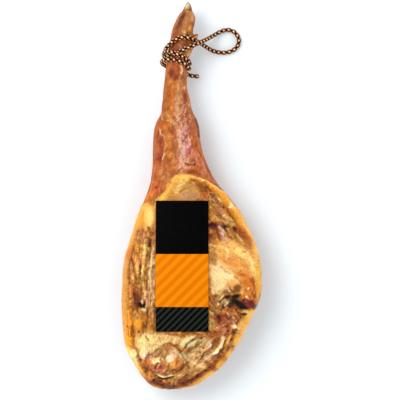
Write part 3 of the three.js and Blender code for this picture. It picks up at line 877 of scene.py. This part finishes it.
def hip_bulge(c):
    """The smooth pale bulge over the hip bone and the holes and dark lump below it."""
    c.patches([
        (86, -140, 62, 46, 110, "F0C07A", 0.95, 1.6), (52, -160, 34, 17, 100, "F1DAAE", 0.9),
        (76, -122, 24, 13, 20, "E8AC6C", 0.75), (98, -116, 20, 9, 150, "F5D48E", 0.8),
        (118, -136, 17, 6, 100, "F9E29C", 0.85, 0.5), (110, -176, 30, 13, 108, "DC8A3C", 0.9),
        (92, -136, 14, 8, 160, "EDAA52", 0.7), (44, -126, 18, 7, 92, "B08250", 0.85),
        (62, -116, 14, 7, 30, "EDBB74", 0.7), (68, -158, 18, 8, 165, "FBEABC", 0.9, 0.6),
        (48, -186, 14, 9, 90, "E6CCA2", 0.8), (102, -160, 14, 7, 150, "E8A458", 0.7),
        (128, -150, 20, 5, 92, "F6CB70", 0.8), (119, -172, 10, 4, 110, "C86A24", 0.7),
        (90, -185, 10, 8, 60, "84502C", 0.9, -0.8), (70, -190, 10, 5, 20, "8A6A34", 0.8, -1.0),
        (60, -178, 10, 5, 30, "F3E2B2", 0.8), (50, -208, 13, 9, 110, "A87C5C", 0.85),
        (114, -214, 16, 11, 150, "84340F", 0.95, 1.8), (110, -202, 13, 5, 165, "CC7830", 0.9),
        (124, -206, 8, 6, 110, "C4763A", 0.85), (118, -217, 9, 5, 120, "6A260C", 0.85),
        (80, -213, 12, 9, 60, "6A562C", 0.95, -1.6), (68, -210, 8, 5, 30, "C8B080", 0.8),
        # Rows in 140803, 1A0E06, 1C0B04, 2A160A and 2E0F06: near-black painted shade in the sunk holes.
        (89, -201, 9, 5, 12, "140803", 1.0, -3.2), (72, -202, 7, 4.5, 0, "1A0E06", 0.97, -2.8),
        (96, -218, 18, 7, 142, "1C0B04", 1.0, -3.8), (64, -219, 6, 4, 40, "2A160A", 0.95, -2.0),
        (108, -224, 8, 4, 150, "2E0F06", 0.85, -1.2), (44, -232, 9, 9, 90, "BFA670", 0.8),
        (108, -234, 10, 7, 165, "F4CE88", 0.9, 0.6), (103, -236, 7, 3.2, 8, "50100A", 0.97, -1.4),
    ])
    c.lines([
        (1.7, "FFEDC0", 0.85, 0.6, (50, -132), (66, -146), (84, -160), (95, -170)),
        (1.6, "FFEDC0", 0.7, 0.6, (44, -142), (58, -156), (74, -168)),
        (1.6, "9A5C24", 0.85, -0.9, (84, -161), (91, -166), (97, -173)),
        (1.5, "B0702E", 0.7, -0.7, (56, -140), (66, -150), (76, -156)),
        (1.7, "B97C3A", 0.6, -0.6, (82, -150), (96, -158), (108, -160)),
        (1.7, "C98A42", 0.6, -0.6, (74, -128), (88, -124), (102, -128)),
        (1.7, "FFE6AC", 0.7, 0.5, (66, -104), (72, -114), (70, -126)),
        (1.7, "FFEFC0", 0.8, 0.6, (112, -120), (118, -130), (121, -146)),
        (1.9, "9E5220", 0.8, -1.0, (120, -164), (124, -180), (125, -194), (122, -206)),
        (1.8, "6A4A22", 0.8, -1.0, (74, -184), (80, -190), (84, -194)),
        (1.6, "F7EFD6", 0.9, 0.8, (71, -185), (76, -190)),
        (2.4, "F5E8C6", 0.95, 1.0, (73, -212), (67, -217)),
        (1.8, "F1E2BC", 0.9, 0.8, (52, -216), (58, -211), (62, -208)),
        (1.6, "E9DAB2", 0.8, 0.8, (54, -206), (60, -202), (63, -199)),
        (1.8, "3A1E0C", 0.9, -1.4, (54, -213), (59, -209), (64, -204)),
        (2.2, "3E140A", 0.95, -1.0, (138, -194), (134, -206), (129, -216), (122, -226)),
        (1.8, "E0A06A", 0.8, 0.8, (106, -203), (112, -206), (120, -204)),
        (2.0, "4A1A10", 0.85, -1.2, (88, -226), (94, -236), (97, -244)),
        (1.9, "D9A07C", 0.8, 0.8, (76, -238), (86, -246), (92, -254)),
    ])
    # Painted shade: near-black dots in small sunk holes.
    c.dots(2.2, "2E1608", -1.4, (77, -221), (58, -226), (46, -200), (103, -208))
    # Painted highlights on the dark lump.
    c.dots(2.2, "FBE6C4", 0.6, (107, -202), (112, -186))
    c.dots(1.8, "B8702E", -0.5, (84, -106), (104, -112), (96, -150), (58, -142), (100, -112))
    c.calm([(86, -142, 50, 42, 110, 0.6)])


def lower_right(c):
    """Below the holes: red muscle, cream sinew strips and the brown edge against the fat rim."""
    c.patches([
        (66, -252, 26, 12, 155, "B96E50", 0.9), (58, -244, 10, 6, 110, "9F4F3C", 0.85),
        (84, -262, 18, 9, 125, "C98F62", 0.85), (66, -268, 18, 8, 165, "BE7450", 0.8),
        (40, -256, 12, 8, 90, "D2AE78", 0.8), (52, -282, 18, 8, 130, "C0894F", 0.85),
        # The F0E2D4 row is a painted highlight.
        (50, -294, 11, 8, 130, "B87E44", 0.9, 0.8), (33, -296, 9, 6, 140, "F0E2D4", 0.9, 0.8),
        (14, -300, 26, 13, 30, "CFA46C", 0.9), (-8, -290, 18, 11, 20, "E9DAA6", 0.9),
        (10, -320, 30, 16, 35, "D6AC70", 0.9), (28, -330, 14, 9, 40, "DDB27C", 0.8),
        (74, -290, 26, 8, 110, "C48A4C", 0.85), (58, -318, 20, 7, 132, "B87A3C", 0.85),
        (38, -340, 16, 7, 140, "A65A20", 0.9), (14, -346, 18, 9, 30, "D2A468", 0.85),
        (-6, -322, 12, 9, 60, "CDA873", 0.85), (-4, -350, 16, 9, 30, "D9B07C", 0.8),
        (20, -286, 9, 5, 0, "D9BE8C", 0.8), (-2, -306, 9, 7, 70, "9A6A34", 0.6),
    ])
    c.lines([
        (2.6, "6A441C", 0.9, -1.8, (-15, -304), (-9, -293), (5, -286), (20, -282)),
        (1.9, "8A5A26", 0.8, -1.2, (-4, -312), (6, -300), (20, -292)),
        (4.2, "F9E2B0", 0.95, 2.2, (62, -283), (58, -298), (48, -311), (38, -319), (29, -324)),
        (1.8, "FFF4DC", 0.7, 0.5, (60, -290), (52, -306), (42, -316)),
        (2.2, "8A5424", 0.8, -1.4, (66, -286), (63, -302), (54, -315), (42, -325)),
        (2.0, "7A4A1E", 0.75, -1.2, (52, -278), (44, -292), (40, -304)),
        (2.4, "8F4A1C", 0.7, -1.0, (86, -262), (82, -284), (72, -306), (60, -322), (46, -336)),
        (2.2, "E2B274", 0.8, 1.0, (78, -262), (76, -280), (68, -298)),
        (2.4, "D79A86", 0.7, 0.8, (50, -262), (66, -258), (80, -250)),
        (2.4, "6E3020", 0.75, -1.2, (46, -270), (60, -274), (74, -270)),
        (3.2, "54200F", 0.85, -2.0, (-5, -371), (6, -366), (16, -358), (27, -351)),
        (2.4, "8A4A20", 0.75, -1.0, (26, -351), (34, -343), (38, -334)),
        (2.2, "F0D4A2", 0.8, 1.0, (0, -330), (14, -338), (24, -342)),
        (2.2, "7A4A20", 0.8, -1.4, (12, -332), (20, -324), (26, -314)),
        (2.2, "6E4420", 0.8, -1.4, (-8, -330), (-6, -342), (-12, -352)),
        (2.0, "EBC890", 0.75, 0.8, (-10, -344), (2, -356), (8, -350)),
    ])
    c.patches([
        (62, -248, 20, 11, 155, "A0623C", 0.75), (54, -246, 9, 5, 95, "74321A", 0.8, -0.9),
        (88, -250, 11, 7, 140, "C08A60", 0.85), (74, -242, 9, 5, 120, "8E4E30", 0.8),
        # The FFF0D0 row is a painted highlight.
        (86, -262, 7, 4, 150, "FFF0D0", 0.9, 0.8), (36, -262, 12, 8, 100, "B8905C", 0.8),
        (62, -272, 14, 6, 160, "B87850", 0.75), (96, -258, 6, 12, -28, "EDBE78", 0.7),
    ])
    c.lines([
        # Painted glints: short pale strokes on the red muscle.
        (1.3, "F6D6C0", 0.85, 0.5, (70, -234), (75, -240)),
        (1.3, "F6D6C0", 0.8, 0.5, (79, -238), (84, -245)),
        (1.3, "F2CDB6", 0.8, 0.5, (74, -248), (82, -252)),
        (1.3, "F2CDB6", 0.8, 0.5, (62, -258), (70, -255)),
        (1.3, "7A2A16", 0.8, -0.6, (66, -238), (72, -246), (80, -254)),
        (1.3, "7A2A16", 0.8, -0.6, (84, -236), (90, -244), (94, -250)),
        (1.4, "F8E2C4", 0.8, 0.6, (58, -282), (61, -274), (66, -270)),
        (1.4, "6E3012", 0.8, -0.8, (68, -276), (74, -268), (78, -262)),
    ])
    c.dots(2.4, "5F2A10", -1.4, (88, -266), (79, -286), (74, -303), (71, -307), (60, -313), (57, -321))
    c.dots(2.2, "6A3616", -1.2, (52, -323), (35, -343), (24, -303), (16, -312), (80, -300), (90, -252))


CHUNK = [
    (-104, -330), (-92, -326), (-78, -319), (-68, -311), (-58, -300), (-44, -294), (-33, -302), (-23, -315),
    (-13, -331), (-21, -343), (-33, -351), (-46, -356), (-66, -354), (-82, -348), (-97, -341),
]


def butt_end(c):
    """The bottom: pale fat below the label, the raised flap of lean and the grainy brown edge."""
    c.patches([
        (-88, -292, 24, 20, 30, "F4DEA6", 0.95, 0.6), (-52, -284, 26, 9, 170, "E9CB96", 0.9),
        (-30, -288, 14, 8, 150, "E6C698", 0.8), (-96, -312, 14, 8, 60, "F6E3B0", 0.9),
        (-96, -322, 9, 4, 20, "EDD3C4", 0.85), (-62, -296, 10, 6, 30, "F3DCAA", 0.8),
        (-60, -368, 44, 13, 178, "B87536", 0.95), (-34, -366, 16, 9, 30, "DAB080", 0.85),
        (-86, -356, 16, 8, 130, "C98A44", 0.85), (-71, -371, 10, 6, 0, "6F4A1C", 0.85, -0.8),
        (-14, -376, 14, 6, 15, "8A4A24", 0.85), (-14, -354, 14, 7, 50, "C99A62", 0.8),
        (-46, -382, 20, 5, 178, "7E4A1A", 0.8), (-20, -318, 7, 10, 60, "E6CCA4", 0.8),
    ])
    chunk = polyline_distance(c.place, CHUNK + CHUNK[:1])
    depth = np.where(inside(c.place, CHUNK), chunk, -chunk)
    within = smoothstep(-1.0, 2.0, depth)
    c.apply(within, "CE8E58", 0.95, 3.2, 0.6)
    step = smoothstep(-5.5, -1.0, depth) * smoothstep(1.0, -1.0, depth)
    c.apply(step * smoothstep(-360, -345, c.place[:, 1]), "8A5426", 0.6, -1.6)
    c.patches([
        # The FFDC9E row is a painted highlight on the flap.
        (-92, -334, 12, 7, 20, "D08038", 0.9), (-69, -327, 13, 6, 15, "FFDC9E", 0.95),
        (-60, -343, 10, 7, 40, "A85A44", 0.9), (-54, -310, 11, 9, 50, "CC9A68", 0.9),
        (-43, -322, 9, 8, 90, "F4D0B0", 0.95), (-29, -331, 10, 7, 60, "F09A40", 0.95),
        (-78, -341, 12, 5, 0, "B86038", 0.8), (-84, -328, 8, 4, 20, "E09648", 0.85),
        (-46, -346, 10, 5, 10, "DC9C68", 0.8), (-36, -312, 7, 10, 60, "E2B890", 0.8),
    ])
    c.lines([
        (2.6, "6E2412", 0.9, -1.4, (-44, -351), (-30, -344), (-17, -333)),
        (2.0, "7A3014", 0.85, -1.2, (-98, -338), (-84, -346), (-68, -351), (-54, -352)),
        # Painted highlight along the flap's right edge.
        (1.9, "EFD3AE", 0.75, 0.6, (-36, -301), (-24, -315), (-14, -329)),
        (1.6, "E3BE92", 0.6, 0.5, (-100, -328), (-84, -321), (-70, -311), (-60, -300), (-47, -294)),
        (1.9, "8A4E24", 0.8, -1.0, (-58, -304), (-56, -316), (-62, -326)),
        (1.9, "95582C", 0.8, -1.0, (-48, -300), (-49, -312), (-52, -324)),
        (1.8, "7A3C20", 0.75, -1.0, (-66, -332), (-72, -344)),
        # A curved painted highlight below the flap.
        (2.2, "FFF3D6", 0.95, 1.6, (-70, -356), (-62, -359.5), (-52, -360.5), (-40, -357)),
        (2.6, "5A3212", 0.85, -1.6, (-78, -352), (-66, -363), (-50, -365), (-36, -362)),
        (5.6, "FBF0B4", 0.95, 1.2, (-129, -305), (-119, -310), (-115, -319)),
        (3.0, "F4E4B2", 0.9, 1.6, (-113, -308), (-111, -322), (-106, -336)),
        (2.0, "A9742E", 0.75, -1.2, (-108, -306), (-106, -320), (-101, -332)),
        (2.0, "B98848", 0.7, -0.8, (-92, -280), (-84, -290), (-80, -302)),
        (1.8, "A87640", 0.7, -0.8, (-68, -280), (-60, -286), (-54, -282)),
        (1.8, "C9A468", 0.7, -0.6, (-84, -300), (-72, -296), (-64, -300)),
        (2.4, "DDB684", 0.8, 0.8, (-44, -368), (-30, -362), (-22, -356)),
        (2.2, "6A3A14", 0.8, -1.2, (-30, -374), (-18, -364), (-10, -360)),
        (2.2, "5F3410", 0.8, -1.2, (-84, -372), (-70, -378), (-54, -378)),
    ])
    c.dots(2.2, "54300E", -1.2, (-76, -368), (-62, -372), (-44, -374), (-92, -352), (-36, -380),
           (-56, -386))
    c.dots(2.0, "E8C68E", 0.7, (-56, -370), (-70, -362), (-84, -362), (-28, -370))


def rim_colours(c):
    """The bright fat rim round the face, glossy and a little uneven."""
    p = c.points
    fat = c.rim
    c.tint(fat * 0.95, "EDB452")
    c.tint(fat * 0.75 * smoothstep(-60, -110, p[:, 0]), "DE9C4E")
    # Brighter on the right: partly the fat's own colour, partly painted light that makes up for the key
    # light coming from the left.
    c.tint(fat * 0.6 * smoothstep(40, 90, p[:, 0]), "F6BE5E")
    c.tint(fat * 0.4 * smoothstep(0, 0.5, noise(p, 26, 51, 2)), "F8D98C")
    c.tint(fat * 0.6 * smoothstep(0, 0.5, noise(p, 20, 52, 2)), "E5A146")
    rind_edge = 4 * c.face * (1 - c.face) * smoothstep(0.4, 0.1, c.normals[:, 2])
    c.tint(0.45 * rind_edge, "9A5A28")
    low = smoothstep(-345, -380, p[:, 1])
    c.tint(fat * 0.5 * low, "CE8E44")
    inner = c.face * smoothstep(6, 0, np.abs(c.from_edge - 13)) * smoothstep(-8, -60, p[:, 1])
    c.tint(0.45 * inner, "CE8432")
    c.height += fat * 1.2
    c.gloss += fat * (0.8 - c.gloss)


def lean_fibres(c):
    """Muscle fibre relief and streaks on the lean face, running a different way in each part."""
    x, y = c.place.T
    angle = np.full(len(x), 88.0)
    angle = np.where(x > 0, 125.0, angle)
    angle = np.where((x > 30) & (y < -100) & (y > -190), 150.0, angle)
    angle = np.where((x > 0) & (y < -225), 135.0, angle)
    angle = np.where((x > -72) & (y < -276) & (x < 10), 60.0, angle)
    angle = np.where((x > -30) & (y < -276), 38.0, angle)
    turn = np.radians(np.where(c.face < 0.5, 90.0, angle))
    along = c.points[:, 0] * np.cos(turn) + c.points[:, 1] * np.sin(turn)
    across = -c.points[:, 0] * np.sin(turn) + c.points[:, 1] * np.cos(turn)
    c.grain = np.column_stack([along, across, c.points[:, 2]])
    smooth_bulge = np.clip(1.6 - np.hypot((x - 84) / 58, (y + 142) / 44), 0, 1)
    paleness = smoothstep(0.38, 0.62, c.colour @ (0.21, 0.72, 0.07))
    rough = c.lean * (1 - 0.85 * smooth_bulge) * (1 - 0.6 * paleness)
    c.lean = c.lean * (0.12 + 0.88 * rough)
    stretched = c.grain * (0.18, 1, 0.5)
    streak = noise(stretched, 6, 61, 2)
    c.height += c.top * rough * (1.3 * streak + 0.9 * noise(stretched, 11, 62, 2))
    light, dark = (1.35, 1.38, 1.32), (0.56, 0.42, 0.28)
    c.shade(c.top * rough * 0.6 * smoothstep(0.08, -0.5, streak), dark)
    c.shade(c.top * rough * 0.6 * smoothstep(0.1, 0.6, streak), light)
    grit = noise(c.points, 5, 68, 2)
    grainy = c.top * rough
    c.shade(grainy * 0.8 * smoothstep(0.1, 0.5, grit), light)
    c.shade(grainy * 0.8 * smoothstep(-0.1, -0.5, grit), dark)
    c.height += grainy * 0.7 * grit
    tone = noise(c.points, 17, 69, 2)
    c.shade(grainy * smoothstep(0.05, 0.5, tone), (0.95, 0.78, 0.9))
    c.shade(grainy * smoothstep(-0.05, -0.5, tone), (0.85, 0.82, 0.6))
    cloud = noise(c.points, 9, 70, 2)
    skin = 1 - c.face
    c.shade(skin * 0.8 * smoothstep(0.0, 0.5, cloud), (0.72, 0.57, 0.46))
    c.shade(skin * 0.7 * smoothstep(-0.05, -0.5, cloud), (1.2, 1.35, 1.38))
    # Painted glints on the raised wrinkles of the skin and painted shade in the creases between them.
    crease = noise(c.grain * (0.35, 1, 0.7), 4.2, 72, 2)
    c.shade(skin * 0.7 * smoothstep(0.15, 0.6, crease), (1.35, 1.5, 1.65))
    c.shade(skin * 0.7 * smoothstep(-0.15, -0.6, crease), (0.68, 0.55, 0.48))
    c.height += skin * c.top * 0.35 * crease
    bulge_fibre = noise(c.grain * (0.22, 1, 0.6), 5, 73, 2)
    bulge = c.face * np.minimum(smooth_bulge, 1)
    c.shade(bulge * 0.6 * smoothstep(0.05, 0.5, bulge_fibre), (1.16, 1.24, 1.3))
    c.shade(bulge * 0.7 * smoothstep(-0.05, -0.5, bulge_fibre), (0.84, 0.68, 0.5))
    c.height += bulge * 0.4 * bulge_fibre
    lump = noise(c.points, 13, 63, 2)
    c.height += c.top * c.face * 0.9 * lump
    wrinkle = noise(c.grain * (0.3, 1, 0.6), 7, 64, 2)
    c.height += skin * (0.75 * wrinkle + 0.6 * noise(c.points, 24, 65, 2))
    c.height += c.rim * 0.7 * noise(c.points * (1, 0.5, 1), 15, 66, 2)
    c.gloss += 0.22 * noise(c.points, 18, 67, 2) + 0.15 * c.lean * streak


def balance(c):
    """Deepens the colours, because the sheen of the damp surface lightens them again."""
    middle, contrast = 0.35, 1.16
    c.colour = middle * (c.colour / middle) ** (1 + c.face[:, None] * (contrast - 1))
    meat = np.array((0.88, 0.82, 0.68))
    skin = np.array((0.79, 0.7, 0.53))
    gain = skin + c.face[:, None] * (meat - skin)
    c.colour = np.clip(c.colour * gain - 0.008, 0.003, 1)


def light_and_shade(c):
    """Wide soft differences of tone from one part of the ham to the next."""
    c.shades([
        (-96, -130, 62, 22, 88, (1.12, 1.26, 1.3)), (94, -80, 28, 15, 125, (0.78, 0.7, 0.5)),
        (-50, -372, 44, 13, 0, (0.85, 0.76, 0.55)), (-58, -328, 40, 26, 0, (1.05, 1.26, 1.6)),
        (-132, -190, 70, 8, 88, (0.88, 0.94, 1.05)), (-86, -40, 22, 14, 90, (0.96, 0.86, 0.95)),
        (133, -155, 44, 8, 90, (0.93, 0.92, 0.7)), (16, -310, 36, 30, 0, (1.0, 1.1, 1.4)),
        (82, -152, 46, 40, 0, (0.95, 0.9, 0.88)), (116, -214, 14, 11, 0, (1.05, 1.25, 0.75)),
        (-16, 346, 26, 16, 75, (1.0, 1.18, 1.35)), (-8, 110, 30, 16, 90, (1.06, 1.05, 1.3)),
        (-58, 25, 30, 16, 90, (1.03, 1.12, 1.1)), (-12, 70, 26, 20, 90, (1.18, 1.26, 1.7)),
        (-50, 205, 55, 8, 94, (0.95, 1.02, 0.75)), (88, -206, 20, 12, 150, (0.8, 0.7, 0.5)),
        (-20, 352, 18, 4, 65, (0.6, 0.5, 0.42)), (0, 345, 20, 5, 85, (1.2, 1.3, 1.4)),
        (-34, 318, 26, 5, 75, (0.75, 0.62, 0.5)), (-15, 328, 18, 5, 80, (1.15, 1.22, 1.15)),
    ])


MEAT_RELIEF = 1.4                # how much stronger the relief is on the cut face than on the skin
UNDER_LABEL = 0.7                # the most relief there is under the label
ROPE_Y = 276                     # the middle of the turns of rope


def keep_clear(c):
    """The relief stays low under the label, round the rope and where the ham rests."""
    c.height *= 1 + (MEAT_RELIEF - 1) * c.face
    x, y = c.xy.T
    (left, low, _), (right, high, _) = np.array(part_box("label")) / MM
    margin = np.minimum.reduce([x - left, right - x, y - low, high - y])
    covered = smoothstep(-2, 3, margin) * (c.normals[:, 2] > 0)
    lowered = c.height + covered * (UNDER_LABEL - c.height)
    c.height = np.where(c.height > UNDER_LABEL, lowered, c.height)
    tied = smoothstep(34, 24, np.abs(y - ROPE_Y))
    c.height *= 1 - 0.85 * tied
    c.height -= 0.3 * tied
    c.height *= smoothstep(0.0, 7.0, c.points[:, 2])


def unwrap_by_angle(mesh, points):
    """A UV map for baking: the angle round the ham against its length, in two halves side by side."""
    y = points[:, 1]
    stations = np.linspace(y.min(), y.max(), UV_STATIONS)
    near = np.clip(np.searchsorted(stations, y), 0, UV_STATIONS - 1)
    middle = []
    for axis in (0, 2):
        low, high = limits_by_station(near, UV_STATIONS, points[:, axis])
        good = np.isfinite(low)
        middle.append(np.interp(y, stations[good], (low[good] + high[good]) / 2))
    angle = np.arctan2(points[:, 2] - middle[1], points[:, 0] - middle[0])
    corner = np.empty(len(mesh.loops), np.int64)
    mesh.loops.foreach_get("vertex_index", corner)
    starts = np.empty(len(mesh.polygons), np.int64)
    sizes = np.empty(len(mesh.polygons), np.int64)
    mesh.polygons.foreach_get("loop_start", starts)
    mesh.polygons.foreach_get("loop_total", sizes)
    face_of = np.repeat(np.arange(len(starts)), sizes)
    sine = np.bincount(face_of, np.sin(angle[corner])) / sizes
    lower = (sine < 0)[face_of]
    turned = np.where(lower, -angle[corner], angle[corner])
    turned = np.where(turned < -np.pi / 2, turned + 2 * np.pi, turned)
    u = 0.03 + 0.42 * (turned + 0.3) / (np.pi + 0.6) + 0.5 * lower
    v = 0.02 + 0.96 * (y[corner] - y.min()) / (y.max() - y.min())
    layer = mesh.uv_layers.new(name="OFBake")
    layer.uv.foreach_set("vector", np.column_stack([u, v]).ravel())


def make_ham():
    """The ham, with every part of its fine surface painted and sculpted in order."""
    mesh = fine_ham_mesh()
    count = len(mesh.vertices)
    points = np.empty(count * 3)
    mesh.vertices.foreach_get("co", points)
    points = points.reshape(-1, 3)
    normals = np.empty(count * 3)
    mesh.vertex_normals.foreach_get("vector", normals)
    normals = normals.reshape(-1, 3)
    c = Canvas(points, normals)
    ham_zones(c)
    skin_colours(c)
    shank_and_hock(c)
    foot(c)
    c.tint(c.face * 0.9, "C08A4C")
    c.core = 0.55
    rim_colours(c)
    left_strip(c)
    upper_right(c)
    hip_bulge(c)
    lower_right(c)
    butt_end(c)
    v_cut(c)
    lean_fibres(c)
    light_and_shade(c)
    keep_clear(c)
    balance(c)
    unwrap_by_angle(mesh, points)
    points = points + normals * c.height[:, None] * MM
    points[:, 2] = np.maximum(points[:, 2], 0.0)
    mesh.vertices.foreach_set("co", points.ravel())
    mesh.polygons.foreach_set("use_smooth", [True] * len(mesh.polygons))

    def store(name, kind, field, values):
        layer = mesh.attributes.new(name, kind, "POINT")
        layer.data.foreach_set(field, np.ascontiguousarray(values, np.float32).ravel())

    ones = np.ones(count)
    store("paint", "FLOAT_COLOR", "color", np.column_stack([np.clip(c.colour, 0, 1), ones]))
    store("tissue", "FLOAT_COLOR", "color", np.column_stack([1 - c.face, c.rim, c.lean, ones]))
    store("grain", "FLOAT_VECTOR", "vector", c.grain * MM)
    store("gloss", "FLOAT", "value", np.clip(c.gloss, 0, 1))
    mesh.materials.clear()
    mesh.materials.append(ham_material())
    mesh.update()
    ham = link(bpy.data.objects.new("cured_ham", mesh))
    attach(ham, "root")
    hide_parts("ham")
    return ham


ham = make_ham()

# ---------------------------------------------------------------- the label
LABEL_CELL = 0.003
LABEL_INSET = 1e-5                # keeps the outermost samples on the CAD label's top
CARD_THICK = 0.0006
CARD_WAVE = 0.0003                # height of the undulation
ORANGE_TOP = -0.1168              # y where the orange block starts and ends
ORANGE_BOTTOM = -0.2211
WIDE_STRIPE = 0.0224              # from one diagonal stripe to the next, along x
NARROW_STRIPE = 0.0134


def label_material():
    """Printed card: a plain black block, an orange one with lighter diagonals, a black one with grey."""
    n = Nodes("label")
    place = n.position()
    split = n.tree.nodes.new("ShaderNodeSeparateXYZ")
    n.put(split.inputs[0], place)
    x, y = split.outputs[0], split.outputs[1]

    def stripes(spacing):
        wave = n.math("PINGPONG", n.math("DIVIDE", n.math("SUBTRACT", x, y), spacing), 0.5)
        return n.ramp(wave, 0.235, 0.265)

    orange = n.mix(stripes(WIDE_STRIPE), linear("D66E00"), linear("E67F02"))
    dark = n.mix(stripes(NARROW_STRIPE), linear("010101"), linear("222521"))
    under_top = n.math("LESS_THAN", y, ORANGE_TOP)
    in_orange = n.math("MULTIPLY", under_top, n.math("GREATER_THAN", y, ORANGE_BOTTOM))
    below = n.math("LESS_THAN", y, ORANGE_BOTTOM)
    colour = n.mix(below, linear("010101"), dark)
    colour = n.mix(in_orange, colour, orange)
    print_grain = n.noise(place, 0.004, 3, 0.6)
    colour = n.mix(n.ramp(print_grain, 0.3, 0.7, 0, 0.03), colour, linear("3A3632"))
    n.put(n.shader.inputs["Base Color"], colour)
    n.put(n.shader.inputs["Roughness"], n.ramp(print_grain, 0.3, 0.7, 0.5, 0.6))
    n.shader.inputs["Specular IOR Level"].default_value = 0.02
    n.bump(print_grain, 0.0002, 0.5)
    return n.material


def make_label():
    """The card: the CAD label's top face as a fine grid, with a slight undulation."""
    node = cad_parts["label"]
    tree = BVHTree.FromObject(node, bpy.context.evaluated_depsgraph_get())
    low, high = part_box("label")
    across = int(round((high[0] - low[0]) / LABEL_CELL))
    down = int(round((high[1] - low[1]) / LABEL_CELL))
    xs = np.linspace(low[0] + LABEL_INSET, high[0] - LABEL_INSET, across + 1)
    ys = np.linspace(low[1] + LABEL_INSET, high[1] - LABEL_INSET, down + 1)
    top = []
    for y in ys:
        for x in xs:
            hit = tree.ray_cast(Vector((x, y, 1)), Vector((0, 0, -1)))[0]
            top.append((x, y, hit.z))
    top = np.array(top)
    top[:, 2] += CARD_WAVE * noise(top / MM, 30, 71, 2)
    under = top - (0, 0, CARD_THICK)
    points = np.concatenate([top, under])
    shift = len(top)
    row = across + 1
    faces = []
    for j in range(down):
        for i in range(across):
            a = j * row + i
            faces.append((a, a + 1, a + row + 1, a + row))
            faces.append((a + shift, a + row + shift, a + row + 1 + shift, a + 1 + shift))
    rim = list(range(across))
    rim += [j * row + across for j in range(down)]
    rim += [down * row + i for i in range(across, 0, -1)]
    rim += [j * row for j in range(down, 0, -1)]
    for a, b in zip(rim, rim[1:] + rim[:1]):
        faces.append((b, a, a + shift, b + shift))
    label = mesh_object("label_card", points, faces, label_material())
    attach(label, "root")
    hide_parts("label")
    return label


label = make_label()

# ---------------------------------------------------------------- stage and light
FLOOR_SIZE = 24
SKY_HEIGHTS = (0.15, 0.95)        # of the soft surround: low near the horizon and high near the zenith
SKY_STRENGTHS = (1.95, 0.46)      # its brightness at those heights
KEY_PLACE = (-1.2, 0.8, 2.3)
KEY_SIZE = 1.5
KEY_POWER = 34


def make_stage():
    """A pale floor, a soft surround that is brightest at the horizon, and one large soft lamp."""
    n = Nodes("floor")
    n.shader.inputs["Base Color"].default_value = (0.9, 0.95, 0.97, 1)
    n.shader.inputs["Roughness"].default_value = 0.9
    n.shader.inputs["Specular IOR Level"].default_value = 0.1
    half = FLOOR_SIZE / 2
    corners = [(-half, -half, 0), (half, -half, 0), (half, half, 0), (-half, half, 0)]
    floor = mesh_object("floor", corners, [(0, 1, 2, 3)], n.material)
    world = bpy.data.worlds.new("studio")
    world.use_nodes = True
    tree = world.node_tree
    background = tree.nodes["Background"]
    split = tree.nodes.new("ShaderNodeSeparateXYZ")
    tree.links.new(tree.nodes.new("ShaderNodeTexCoord").outputs["Generated"], split.inputs[0])
    ramp = tree.nodes.new("ShaderNodeMapRange")
    set_range(ramp, *SKY_HEIGHTS, *SKY_STRENGTHS)
    tree.links.new(split.outputs[2], ramp.inputs["Value"])
    tree.links.new(ramp.outputs[0], background.inputs["Strength"])
    background.inputs["Color"].default_value = (0.92, 0.965, 1.0, 1)
    bpy.context.scene.world = world
    bpy.context.scene.view_settings.view_transform = "Standard"
    key_data = bpy.data.lights.new("key", "AREA")
    key_data.size = KEY_SIZE
    key_data.energy = KEY_POWER
    key = link(bpy.data.objects.new("key", key_data))
    key.location = KEY_PLACE
    key.rotation_euler = (-Vector(KEY_PLACE)).to_track_quat("-Z", "Y").to_euler()


make_stage()
